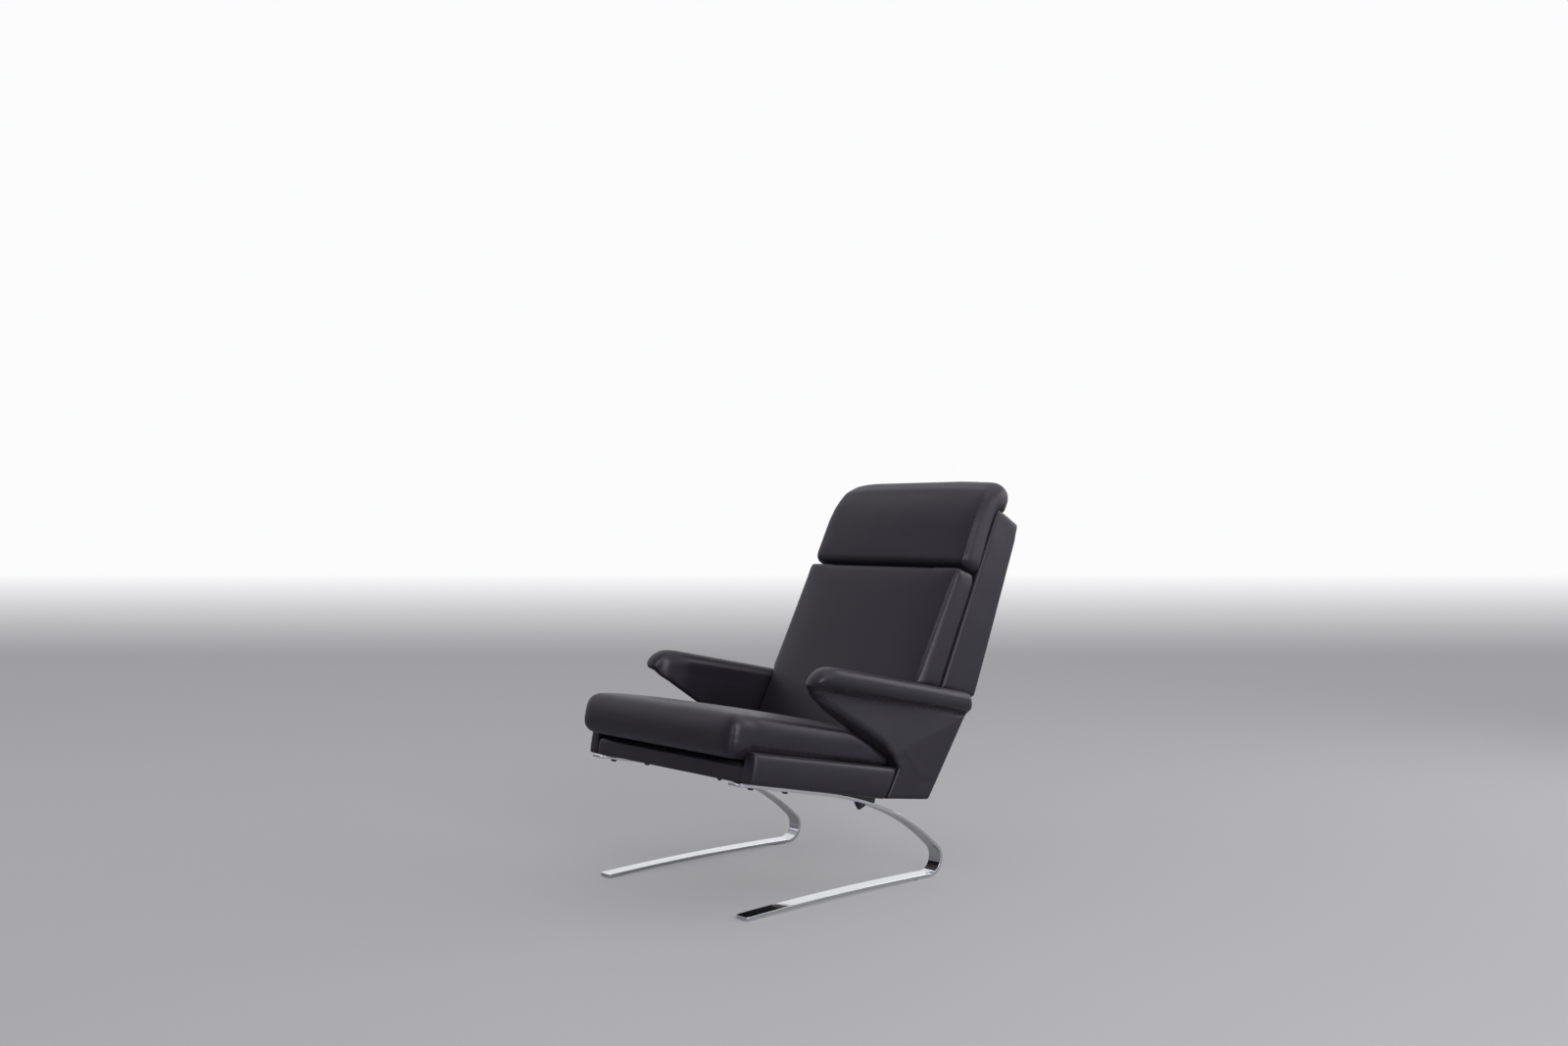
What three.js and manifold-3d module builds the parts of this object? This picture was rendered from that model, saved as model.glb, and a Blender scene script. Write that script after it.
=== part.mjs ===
// Cantilever lounge chair: two flat steel spring bars carry an upholstered seat, arms and back.
// Millimetres. X runs across the chair to the sitter's left, Y to the rear and Z up from the floor.
import * as THREE from 'three';
import { mergeVertices } from 'three/addons/utils/BufferGeometryUtils.js';
import Module from 'manifold-3d';

const wasm = await Module();
wasm.setup();

const degrees = THREE.MathUtils.degToRad;

// Driving sizes of the whole chair
const seatTilt = degrees(11.5);
const backLean = degrees(14.6);
const frameHalfWidth = 275;
const touchGap = 0.3;
const cutOverrun = 1;

// Spring bar: one flat steel bar that runs straight under the seat, sweeps down and turns at the heel
const barWidth = 39;
const barThick = 8;
const barProud = 2.5;
const barEdge = 0.8;
const barStraight = 266;
const sweepRadius = 1051;
const sweepHeading = degrees(24.6);
const curlRadius = 596;
const curlHeading = degrees(42.4);
const heelRadius = 38;
const floorRun = 596;
const floorRise = 5;
const toeRound = 7;
const toeLip = 3.5;
const flexGap = 0.6;

// Glides under the floor legs
const glideThick = 2;
const glideLength = 38;
const glideInset = 10;
const glideMargin = 2.5;

// Front fixings: button-head bolts through the bar into threaded inserts
const boltDiameter = 8;
const boltFit = 0.3;
const boltPlaces = [50, 154];
const boltHeadDiameter = 14;
const boltHeadHeight = 5;
const boltHeadCrown = 2;
const socketDiameter = 5;
const socketDepth = 3;
const socketSides = 6;
const insertWall = 2.2;
const insertLength = 24;
const insertSink = 2;

// Rear fixing: saddle block on the swept part of the bar, stud and conical cap nut
const saddleFront = 325;
const saddleRear = 428;
const studPlace = 401;
const capDiameter = 27;
const capHeight = 15;
const capRim = 3;
const capPoint = 3;

// Wooden seat frame, webbing and dust cover
const memberWidth = 37;
const memberHeight = 48;
const frameFront = 31;
const frameRear = 566;
const crossThick = 25;
const crossLift = 3;
const memberRise = 13;
const webCount = 4;
const webWidth = 60;
const webThick = 2.5;
const webFirst = 100;
const webLast = 480;
const webMargin = 8;
const coverThick = 1.5;
const coverLift = 1;

// Padded side rails and front apron
const railThick = 30;
const railHeightFront = 69.5;
const railHeight = 77;
const railFront = 5;
const railSeamAhead = 104;
const railSeamLean = 27.5;
const railRound = 9;
const apronDrop = 9.4;
const apronRound = 9;

// Side panels, as a boomerang outline in the tilted seat frame, and the roll along their top
const panelOutThick = 35;
const panelInThick = 18;
const panelRound = 7;
const boardThick = 12;
const boardInset = 9;
const boardSetBack = 161;
const boardDrop = 123;
const panelNoseShare = 0.25;
const panelFoot = 2;
const panelHeelBehind = 17;
const panelHeelUp = 12;
const panelLean = 96;
const noseAlong = 139;
const panelNoseSetBack = 33;
const panelNoseDrop = 72;
const panelTopSetBack = 39;
const slopeSetBack = 73;
const slopeDrop = 89;
const crotchAhead = 22;
const crotchOver = 24;
const armTop = 280;
const rollHeight = 52;
const rollOffset = 23.5;
const rollWidth = 63;
const rollNose = 68;
const rollTail = 16;
const armBoltLength = 40;
const armBoltDiameter = 6;
const armBoltHead = 12;
const armBoltHeadHeight = 3.5;
const armBoltsAhead = [86, 16];
const armBoltUp = 26;

// Back shell, back board, lower rear panel and brackets
const backBehind = 49;
const backOver = 13;
const shellProud = 2.5;
const shellTall = 488;
const shellTopThick = 95;
const shellFootThick = 123;
const shellFootUp = 13;
const shellRound = 8;
const backBoardThick = 12;
const backBoardInset = 35;
const backBoardDrop = 33;
const rearPanelThick = 28;
const rearPanelInset = 3;
const rearPanelStep = 17;
const rearPanelLip = 6;
const bracketThick = 3;
const bracketWidth = 40;
const bracketFoot = 14;
const bracketTall = 70;
const bracketInset = 70;

// Cushions
const seatFrontReach = 50;
const seatThick = 97.3;
const seatCrown = 8;
const seatOverRail = 12;
const cushionSideGap = 2;
const taperFront = 190;
const taperRear = 320;
const seatRound = 26;
const seatNoseRound = 34;
const seatDraw = 4;
const padThickLow = 93;
const padThickTop = 74;
const padTop = 291;
const padCrown = 7;
const padShoulderLift = 1;
const padRound = 24;
const padDraw = 3;
const headPadGap = 10;
const headThick = 64;
const headProud = 2;
const headOver = 73;
const headLap = 37;
const headCrown = 5;
const headRound = 18;
const headDraw = 3;
const headPlaneDrop = 58;
const headBrowOver = 4;
const headBrowIn = 15;
const headBack = 12;
const headLapRound = 21;
const headTopRound = 30;
const headPlaneRound = 60;
const seatRearGap = 1.5;
const seatRebateGap = 2;
const loopSpacing = 62;
const cornerSpare = 1;

// How finely round shapes are divided
const arcSteps = 7;
const roundSides = 20;
const edgeSteps = 3;
const crossSteps = 6;
const sectionSides = 20;
const cornerSteps = 4;
const noseSteps = 6;
const tailSteps = 3;
const noseStartShare = 0.35;
const tailHeightShare = 0.5;
const rollTaperShare = 0.8;
const rollTailTaperShare = 0.3;
const rollSquareShare = 0.72;

// Places that follow from the sizes above
const barCentre = frameHalfWidth + barProud - barWidth / 2;
const floorRadius = floorRun ** 2 / floorRise / 8 + floorRise / 2;
const floorHeading = Math.asin(floorRun / 2 / floorRadius);
const barHalf = barThick / 2;
const memberTop = memberHeight + touchGap;
const webTop = memberTop + touchGap + webThick;
const deckTop = webTop + touchGap;
const memberCentre = frameHalfWidth - touchGap - memberWidth / 2;
const memberInner = memberCentre - memberWidth / 2;
const apronHeight = deckTop - apronDrop;
const railSeamTop = frameRear - railSeamAhead;
const railSeamBottom = railSeamTop - railSeamLean;
const panelOut = frameHalfWidth + panelOutThick;
const panelIn = frameHalfWidth - panelInThick;
const panelTop = armTop - rollHeight - touchGap;
const panelHeelAlong = frameRear + panelHeelBehind;
const panelRear = panelHeelAlong + panelLean;
const panelNoseAlong = noseAlong + panelNoseSetBack;
const panelNoseUp = armTop - panelNoseDrop;
const panelNoseTop = noseAlong + panelTopSetBack;
const slopeAlong = noseAlong + slopeSetBack;
const slopeUp = armTop - slopeDrop;
const crotchAlong = railSeamTop - crotchAhead;
const crotchUp = railHeight + crotchOver;
const boardNose = noseAlong + boardSetBack;
const boardSlopeUp = armTop - boardDrop;
const rollCentre = frameHalfWidth + rollOffset;
const armBoltPlaces = armBoltsAhead.map((ahead) => frameRear - ahead);
const backAlong = frameRear + backBehind;
const backUp = armTop + backOver;
const shellHalfWidth = frameHalfWidth + shellProud;
const backBoardHalfWidth = frameHalfWidth - backBoardInset;
const backBoardTop = shellTall - backBoardDrop;
const bracketCentre = backBoardHalfWidth - bracketInset;
const seatFoot = deckTop + touchGap;
const seatTopUp = seatFoot + seatThick;
const seatWide = frameHalfWidth + seatOverRail;
const cushionNarrow = panelIn - cushionSideGap;
const padWide = frameHalfWidth;
const headLow = padTop + headPadGap;
const headWide = frameHalfWidth + headProud;
const headTop = shellTall + headOver;
const headPlaneUp = shellTall - headPlaneDrop;
const headBrow = shellTall + headBrowOver;

const leather = { color: 0x1d1c20, roughness: 0.5, metalness: 0 };
const chrome = { color: 0xd8dadd, roughness: 0.12, metalness: 1 };
const blackSteel = { color: 0x1b1b1d, roughness: 0.45, metalness: 0.8 };
const zinc = { color: 0xa7a9ab, roughness: 0.4, metalness: 0.9 };
const beech = { color: 0xb98f5f, roughness: 0.65, metalness: 0 };
const blackCloth = { color: 0x141416, roughness: 0.9, metalness: 0 };
const webbing = { color: 0x3a332c, roughness: 0.9, metalness: 0 };
const softPlastic = { color: 0x2a2a2c, roughness: 0.6, metalness: 0 };

// Groups: the chair, the whole seat unit in its tilted frame, and the back in its own leaning frame
const chair = new THREE.Group();
const seatUnit = new THREE.Group();
const backUnit = new THREE.Group();

function addMesh(group, name, geometry, look) {
  const mesh = new THREE.Mesh(geometry, new THREE.MeshStandardMaterial(look));
  mesh.name = name;
  group.add(mesh);
  return mesh;
}

// Keeps only the corners and turns the faces outwards if the solid came out inside out
function closedSolid(geometry) {
  geometry.deleteAttribute('normal');
  geometry.deleteAttribute('uv');
  const merged = mergeVertices(geometry);
  const corner = merged.attributes.position;
  const faces = merged.index.array;
  const [a, b, c] = [new THREE.Vector3(), new THREE.Vector3(), new THREE.Vector3()];
  let volume = 0;
  for (let i = 0; i < faces.length; i += 3) {
    a.fromBufferAttribute(corner, faces[i]);
    b.fromBufferAttribute(corner, faces[i + 1]);
    c.fromBufferAttribute(corner, faces[i + 2]);
    volume += a.dot(b.cross(c));
  }
  if (volume < 0) {
    for (let i = 0; i < faces.length; i += 3) {
      [faces[i], faces[i + 1]] = [faces[i + 1], faces[i]];
    }
  }
  return merged;
}

function toManifold(geometry) {
  const solid = closedSolid(geometry);
  const mesh = new wasm.Mesh({
    numProp: 3,
    vertProperties: new Float32Array(solid.attributes.position.array),
    triVerts: new Uint32Array(solid.index.array),
  });
  return new wasm.Manifold(mesh);
}

function subtractAll(geometry, cutters) {
  let solid = toManifold(geometry);
  for (const cutter of cutters) {
    solid = solid.subtract(toManifold(cutter));
  }
  const mesh = solid.getMesh();
  const result = new THREE.BufferGeometry();
  result.setAttribute('position', new THREE.BufferAttribute(mesh.vertProperties, mesh.numProp));
  result.setIndex(new THREE.BufferAttribute(mesh.triVerts, 1));
  return result;
}

// A round bar along +Z with its foot at the given height
function roundBar(diameter, length, foot, sides = roundSides) {
  const geometry = new THREE.CylinderGeometry(diameter / 2, diameter / 2, length, sides);
  geometry.rotateX(Math.PI / 2);
  geometry.translate(0, 0, foot + length / 2);
  return geometry;
}

// A closed solid of revolution about Z, from points of radius and height
function turned(points, sides = roundSides) {
  const geometry = new THREE.LatheGeometry(points.map(([r, z]) => new THREE.Vector2(r, z)), sides);
  geometry.rotateX(Math.PI / 2);
  return closedSolid(geometry);
}

function block(low, high) {
  const size = high.map((value, i) => value - low[i]);
  const geometry = new THREE.BoxGeometry(...size);
  geometry.translate(...low.map((value, i) => value + size[i] / 2));
  return geometry;
}

// Turns geometry made as (along, up, across) into (across, along, up)
function standUp(geometry) {
  const turn = new THREE.Matrix4();
  turn.makeBasis(new THREE.Vector3(0, 1, 0), new THREE.Vector3(0, 0, 1), new THREE.Vector3(1, 0, 0));
  return geometry.applyMatrix4(turn);
}

// A flat piece whose outline lies in the side view, from one place across the chair to another
function sideCut(shape, from, to, edge = 0) {
  const geometry = new THREE.ExtrudeGeometry(shape, {
    depth: to - from - 2 * edge,
    bevelEnabled: edge > 0,
    bevelThickness: edge,
    bevelSize: edge,
    bevelOffset: -edge,
    bevelSegments: 1,
    curveSegments: arcSteps,
  });
  geometry.translate(0, 0, from + edge);
  return closedSolid(standUp(geometry));
}

function outlineShape(points) {
  return new THREE.Shape(points.map(([along, up]) => new THREE.Vector2(along, up)));
}

// Moves a closed outline inwards by a distance, corner by corner
function insetLoop(loop, distance) {
  const clockwise = THREE.ShapeUtils.area(loop) < 0;
  const count = loop.length;
  return loop.map((point, i) => {
    const before = loop[(i + count - 1) % count];
    const after = loop[(i + 1) % count];
    const inward = [point.clone().sub(before), after.clone().sub(point)].map((edge) => {
      const normal = new THREE.Vector2(-edge.y, edge.x).normalize();
      return clockwise ? normal.negate() : normal;
    });
    const reach = distance / (1 + inward[0].dot(inward[1]));
    return point.clone().addScaledVector(inward[0].add(inward[1]), reach);
  });
}

// A closed skin over a row of loops with equal counts. Its ends are closed by the given faces, or by
// fans round two hubs, which keep every point of a loop with divided sides.
function skinLoops(loops, endFaces, hubs = []) {
  const count = loops[0].length;
  const corners = loops.flat().flatMap((point) => [point.x, point.y, point.z]);
  const faces = [];
  for (let row = 0; row + 1 < loops.length; row += 1) {
    for (let i = 0; i < count; i += 1) {
      const next = (i + 1) % count;
      const [a, b] = [row * count + i, row * count + next];
      faces.push(a, b, a + count, b, b + count, a + count);
    }
  }
  const last = (loops.length - 1) * count;
  for (const [a, b, c] of endFaces) {
    faces.push(c, b, a, last + a, last + b, last + c);
  }
  hubs.forEach((hub, end) => {
    const first = end * last;
    for (let i = 0; i < count; i += 1) {
      const pair = [first + i, first + ((i + 1) % count)];
      faces.push(...(end ? pair : pair.reverse()), loops.length * count + end);
    }
    corners.push(hub.x, hub.y, hub.z);
  });
  const geometry = new THREE.BufferGeometry();
  geometry.setAttribute('position', new THREE.Float32BufferAttribute(corners, 3));
  geometry.setIndex(faces);
  return closedSolid(geometry);
}

// Places across a padded piece, from its low side to its high side, each with how far the edge is drawn in
function crossStations(from, to, roundFrom, roundTo) {
  const stations = [];
  for (let i = 0; i < edgeSteps && roundFrom > 0; i += 1) {
    const turn = (Math.PI / 2) * (i / edgeSteps);
    stations.push([from + roundFrom * (1 - Math.cos(turn)), roundFrom * (1 - Math.sin(turn))]);
  }
  const [first, last] = [from + roundFrom, to - roundTo];
  for (let i = 0; i <= crossSteps; i += 1) {
    stations.push([first + (last - first) * (i / crossSteps), 0]);
  }
  for (let i = edgeSteps - 1; i >= 0 && roundTo > 0; i -= 1) {
    const turn = (Math.PI / 2) * (i / edgeSteps);
    stations.push([to - roundTo * (1 - Math.cos(turn)), roundTo * (1 - Math.sin(turn))]);
  }
  return stations;
}

// A padded piece: an outline in the side view, carried across the chair with rounded edges.
// The form function moves each point, for a crown, a taper or sides that are drawn in.
function padded(loop, from, to, roundFrom, roundTo, form = (point) => point, hub = null) {
  const stations = crossStations(from, to, roundFrom, roundTo);
  const loops = stations.map(([across, drawn]) => {
    return insetLoop(loop, drawn).map(({ x, y }) => form(new THREE.Vector3(across, x, y)));
  });
  if (hub) {
    return skinLoops(loops, [], [from, to].map((across) => form(new THREE.Vector3(across, hub.x, hub.y))));
  }
  return skinLoops(loops, THREE.ShapeUtils.triangulateShape(insetLoop(loop, stations[0][1]), []));
}

// A smooth change from 0 to 1 between two places
function easeShare(value, from, to) {
  return THREE.MathUtils.smoothstep(value, from, to);
}

// A closed loop of points with its corners rounded, and its long sides divided for a crown to bend
function roundedLoop(corners, radii, spacing) {
  const count = corners.length;
  const loop = [];
  corners.forEach((corner, i) => {
    const toBefore = corners[(i + count - 1) % count].clone().sub(corner).normalize();
    const toAfter = corners[(i + 1) % count].clone().sub(corner).normalize();
    const half = Math.acos(THREE.MathUtils.clamp(toBefore.dot(toAfter), -1, 1)) / 2;
    const reach = radii[i] / Math.tan(half);
    const control = corner.clone();
    const start = corner.clone().addScaledVector(toBefore, reach);
    const end = corner.clone().addScaledVector(toAfter, reach);
    const middle = start.clone().add(end).multiplyScalar(0.5).sub(control);
    const centre = control.clone().addScaledVector(middle.normalize(), radii[i] / Math.sin(half));
    const steps = radii[i] > 0 ? cornerSteps : 0;
    const [from, to] = [start.clone().sub(centre), end.clone().sub(centre)];
    const sweep = Math.PI - 2 * half;
    const side = Math.sign(from.cross(to));
    if (steps === 0) {
      loop.push(control);
    }
    for (let k = 0; steps > 0 && k <= steps; k += 1) {
      const turn = side * sweep * (k / steps);
      loop.push(from.clone().rotateAround(new THREE.Vector2(), turn).add(centre));
    }
  });
  return loop.flatMap((point, i) => {
    const next = loop[(i + 1) % loop.length];
    const pieces = Math.max(1, Math.round(point.distanceTo(next) / spacing));
    return Array.from({ length: pieces }, (_, k) => point.clone().lerp(next, k / pieces));
  });
}

function mirroredTo(side, geometry) {
  const copy = geometry.clone();
  copy.scale(side, 1, 1);
  return closedSolid(copy);
}

// Spring bar, in the side view: its path is marched from the front tip, one straight and arcs that turn
// down to the rear, round the heel and on to the slightly bowed floor leg.
function marchBar() {
  const place = new THREE.Vector2(Math.cos(seatTilt), -Math.sin(seatTilt)).multiplyScalar(barStraight);
  const headings = [seatTilt, sweepHeading, curlHeading, Math.PI + floorHeading];
  const radii = [sweepRadius, curlRadius, heelRadius];
  return radii.map((radius, i) => {
    const [from, to] = [headings[i], headings[i + 1]];
    const centre = new THREE.Vector2(-Math.sin(from), -Math.cos(from)).multiplyScalar(radius).add(place);
    place.set(Math.sin(to), Math.cos(to)).multiplyScalar(radius).add(centre);
    return { centre, radius, from, to };
  });
}

function onArc(arc, heading, offset) {
  const reach = arc.radius + offset;
  return new THREE.Vector2(Math.sin(heading), Math.cos(heading)).multiplyScalar(reach).add(arc.centre);
}

// The floor leg's rear end stands on the rear glide, and its toe is at zero along the chair
const [sweep, curl, heel] = marchBar();
const heelFoot = new THREE.Vector2(floorRun, glideThick + touchGap + barHalf * Math.cos(floorHeading));
const barTip = heelFoot.clone().sub(onArc(heel, heel.to, 0));
for (const arc of [sweep, curl, heel]) {
  arc.centre.add(barTip);
}
const bow = {
  centre: new THREE.Vector2(Math.sin(floorHeading), Math.cos(floorHeading)),
  radius: floorRadius,
  from: floorHeading,
  to: -floorHeading,
};
bow.centre.multiplyScalar(-floorRadius).add(heelFoot);
const tiltNormal = new THREE.Vector2(Math.sin(seatTilt), Math.cos(seatTilt));
const tipTop = barTip.clone().addScaledVector(tiltNormal, barHalf);

function addArc(shape, arc, from, to, offset) {
  const quarter = Math.PI / 2;
  const { x, y } = arc.centre;
  shape.absarc(x, y, arc.radius + offset, quarter - from, quarter - to, to > from);
}

// Upper leg: from the front tip under the seat to the middle of the heel
function springArmShape() {
  const shape = new THREE.Shape();
  const split = Math.PI / 2;
  shape.moveTo(tipTop.x, tipTop.y);
  addArc(shape, sweep, sweep.from, sweep.to, barHalf);
  addArc(shape, curl, curl.from, curl.to, barHalf);
  addArc(shape, heel, heel.from, split, barHalf);
  addArc(shape, heel, split, heel.from, -barHalf);
  addArc(shape, curl, curl.to, curl.from, -barHalf);
  addArc(shape, sweep, sweep.to, sweep.from, -barHalf);
  shape.lineTo(tipTop.x - barThick * tiltNormal.x, tipTop.y - barThick * tiltNormal.y);
  return shape;
}

// Floor leg: from the middle of the heel round to the floor and forward to the toe, rounded below
function runnerShape() {
  const shape = new THREE.Shape();
  const split = Math.PI / 2 + flexGap / (heelRadius - barHalf);
  const start = onArc(heel, split, barHalf);
  const toeTurn = toeRound / floorRadius;
  const toe = onArc(bow, bow.to, -barHalf);
  const lip = onArc(bow, bow.to, barHalf - toeLip);
  shape.moveTo(start.x, start.y);
  addArc(shape, heel, split, heel.to, barHalf);
  addArc(shape, bow, bow.from, bow.to + toeTurn, -barHalf);
  shape.quadraticCurveTo(toe.x, toe.y, lip.x, lip.y);
  addArc(shape, bow, bow.to, bow.from, barHalf);
  addArc(shape, heel, heel.to, split, -barHalf);
  return shape;
}

// A place on the bar's upper face, by its distance from the tip, as a group with Z square to the bar
function barPlace(side, distance) {
  const along = Math.min(distance, barStraight);
  const heading = seatTilt + (distance - along) / (sweepRadius + barHalf);
  const start = onArc(sweep, heading, barHalf);
  const back = along - barStraight;
  const group = new THREE.Group();
  group.position.set(side * barCentre, start.x, start.y);
  group.translateY(back * Math.cos(seatTilt));
  group.translateZ(-back * Math.sin(seatTilt));
  group.rotation.x = -heading;
  group.updateMatrix();
  return group;
}

// How far the bar's upper face has dropped from the seat frame at a distance from the tip
function barDrop(distance) {
  const reach = sweepRadius + barHalf;
  return reach * (1 - Math.cos(Math.max(0, distance - barStraight) / reach));
}

function holeAt(place, radius, foot, top) {
  const length = top - foot + 2 * cutOverrun;
  return roundBar(2 * radius, length, foot - cutOverrun).applyMatrix4(place.matrix);
}

const boltHole = boltDiameter / 2 + boltFit;
const insertOuter = boltHole + insertWall;
const insertTop = touchGap + insertSink + insertLength;

// Button-head bolt with a hexagon socket, pointing up from under the bar
function frontBolt() {
  const seat = -barThick - touchGap;
  const foot = seat - boltHeadHeight;
  const head = boltHeadDiameter / 2;
  const shank = boltDiameter / 2;
  const top = insertTop - insertSink;
  const body = turned([
    [0, foot],
    [head - boltHeadCrown, foot],
    [head, foot + boltHeadCrown],
    [head, seat],
    [shank, seat],
    [shank, top],
    [0, top],
  ]);
  const socket = roundBar(socketDiameter, socketDepth + cutOverrun, foot - cutOverrun, socketSides);
  return subtractAll(body, [socket]);
}

function threadedInsert(foot) {
  return turned([
    [boltHole, foot],
    [insertOuter, foot],
    [insertOuter, foot + insertLength],
    [boltHole, foot + insertLength],
    [boltHole, foot],
  ]);
}

// Conical cap nut with a blind bore, pointing down from under the bar
function capNut() {
  const seat = -barThick - touchGap;
  const rim = capDiameter / 2;
  const bore = seat - capHeight / 2;
  return turned([
    [0, bore],
    [boltHole, bore],
    [boltHole, seat],
    [rim, seat],
    [rim, seat - capRim],
    [capPoint, seat - capHeight],
    [0, seat - capHeight],
  ]);
}

// Saddle block: flat against the seat frame above, curved to the bar below
function saddleShape() {
  const reach = sweepRadius + barHalf;
  const [from, to] = [saddleFront, saddleRear].map((place) => (place - barStraight) / reach);
  const low = (turn) => [
    barStraight + (reach + touchGap) * Math.sin(turn),
    (reach + touchGap) * Math.cos(turn) - reach,
  ];
  const curve = Array.from({ length: arcSteps + 1 }, (_, i) => low(from + (to - from) * (i / arcSteps)));
  return outlineShape([[curve[0][0], 0], ...curve, [barStraight + reach * Math.tan(to), 0]]);
}

// Glide: flat on the floor, its top cut to the bow of the floor leg
function glideShape(from) {
  const reach = floorRadius - barHalf - touchGap;
  const top = Array.from({ length: arcSteps + 1 }, (_, i) => {
    const along = from + glideLength * (1 - i / arcSteps);
    return [along, bow.centre.y + Math.sqrt(reach ** 2 - (along - bow.centre.x) ** 2)];
  });
  return outlineShape([[from, 0], [from + glideLength, 0], ...top]);
}

seatUnit.position.set(0, tipTop.x, tipTop.y);
seatUnit.rotation.x = -seatTilt;
seatUnit.updateMatrix();
backUnit.position.set(0, backAlong, backUp);
backUnit.rotation.x = -backLean;
backUnit.updateMatrix();
const toSeatUnit = seatUnit.matrix.clone().invert();
const toBackUnit = backUnit.matrix.clone().invert();

// Changes between the back's own frame (depth, height) and the seat frame (along, up)
function backToSeat(depth, height) {
  return new THREE.Vector2(depth, height)
    .rotateAround(new THREE.Vector2(), -backLean)
    .add(new THREE.Vector2(backAlong, backUp));
}

function seatToBack(along, up) {
  return new THREE.Vector2(along - backAlong, up - backUp).rotateAround(new THREE.Vector2(), backLean);
}

// The height in the back's own frame at which a depth reaches a level of the seat frame
function backHeightAt(depth, up) {
  return (up - backUp + depth * Math.sin(backLean)) / Math.cos(backLean);
}

function points(...pairs) {
  return pairs.map(([along, up]) => new THREE.Vector2(along, up));
}

function addSpringBar(side, hand) {
  const [inner, outer] = [barCentre - barWidth / 2, barCentre + barWidth / 2];
  const fixings = boltPlaces.map((place) => barPlace(side, place));
  const rear = barPlace(side, studPlace);
  const holes = [...fixings, rear].map((place) => holeAt(place, boltHole, -barThick, 0));
  const arm = mirroredTo(side, sideCut(springArmShape(), inner, outer, barEdge));
  addMesh(chair, `spring_arm_${hand}`, subtractAll(arm, holes), chrome);
  addMesh(chair, `runner_${hand}`, mirroredTo(side, sideCut(runnerShape(), inner, outer, barEdge)), chrome);

  const glideIn = [inner + glideMargin, outer - glideMargin];
  const starts = { front: glideInset, rear: floorRun - glideInset - glideLength };
  for (const [end, from] of Object.entries(starts)) {
    const glide = mirroredTo(side, sideCut(glideShape(from), ...glideIn));
    addMesh(chair, `glide_${end}_${hand}`, glide, softPlastic);
  }

  fixings.forEach((place, i) => {
    const end = ['front', 'middle'][i];
    chair.add(place);
    addMesh(place, `bolt_${end}_${hand}`, frontBolt(), blackSteel);
    addMesh(place, `insert_${end}_${hand}`, threadedInsert(touchGap + insertSink), zinc);
  });

  const drop = barDrop(studPlace);
  const studFoot = -barThick - capHeight / 2;
  chair.add(rear);
  addMesh(rear, `cap_nut_${hand}`, capNut(), blackSteel);
  addMesh(rear, `stud_${hand}`, roundBar(boltDiameter, drop + insertTop - studFoot, studFoot), blackSteel);
  addMesh(rear, `insert_rear_${hand}`, threadedInsert(drop + insertSink), zinc);
  const saddle = mirroredTo(side, sideCut(saddleShape(), inner, outer));
  const bore = holeAt(rear, boltHole, 0, drop).applyMatrix4(toSeatUnit);
  addMesh(seatUnit, `saddle_${hand}`, subtractAll(saddle, [bore]), blackSteel);
}

// Side member of the seat frame, with its bores for the inserts and the arm bolts
function addSideMember(side, hand) {
  const outline = outlineShape([
    [frameFront, touchGap],
    [saddleRear + capDiameter, touchGap],
    [frameRear, memberRise],
    [frameRear, memberTop],
    [frameFront, memberTop],
  ]);
  const places = boltPlaces.map((place) => [barPlace(side, place), insertTop]);
  places.push([barPlace(side, studPlace), barDrop(studPlace) + insertTop]);
  const bores = places.map(([place, top]) => {
    return holeAt(place, insertOuter + boltFit, 0, top).applyMatrix4(toSeatUnit);
  });
  const armBores = armBoltPlaces.map((along) => mirroredTo(side, armBore(along)));
  const member = mirroredTo(side, sideCut(outline, memberInner, memberInner + memberWidth));
  addMesh(seatUnit, `seat_member_${hand}`, subtractAll(member, [...bores, ...armBores]), beech);
}

const boardOut = frameHalfWidth + boardThick;

// Arm bolt along X, with its head on the outer face of the board
function armBolt(along) {
  const shank = armBoltDiameter / 2;
  const head = armBoltHead / 2;
  const bolt = turned([
    [0, -armBoltLength],
    [shank, -armBoltLength],
    [shank, 0],
    [head, 0],
    [head, armBoltHeadHeight / 2],
    [shank, armBoltHeadHeight],
    [0, armBoltHeadHeight],
  ]);
  bolt.rotateY(Math.PI / 2);
  bolt.translate(boardOut + touchGap, along, armBoltUp);
  return bolt;
}

function armBore(along) {
  const length = armBoltLength + 2 * cutOverrun;
  const bore = roundBar(armBoltDiameter + 2 * boltFit, length, -armBoltLength - cutOverrun);
  bore.rotateY(Math.PI / 2);
  bore.translate(boardOut + touchGap, along, armBoltUp);
  return bore;
}

function headPocket(along) {
  const length = armBoltHeadHeight + 2 * cutOverrun;
  const pocket = roundBar(armBoltHead + 2 * cutOverrun, length, -cutOverrun);
  pocket.rotateY(Math.PI / 2);
  pocket.translate(boardOut + touchGap, along, armBoltUp);
  return pocket;
}

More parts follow.
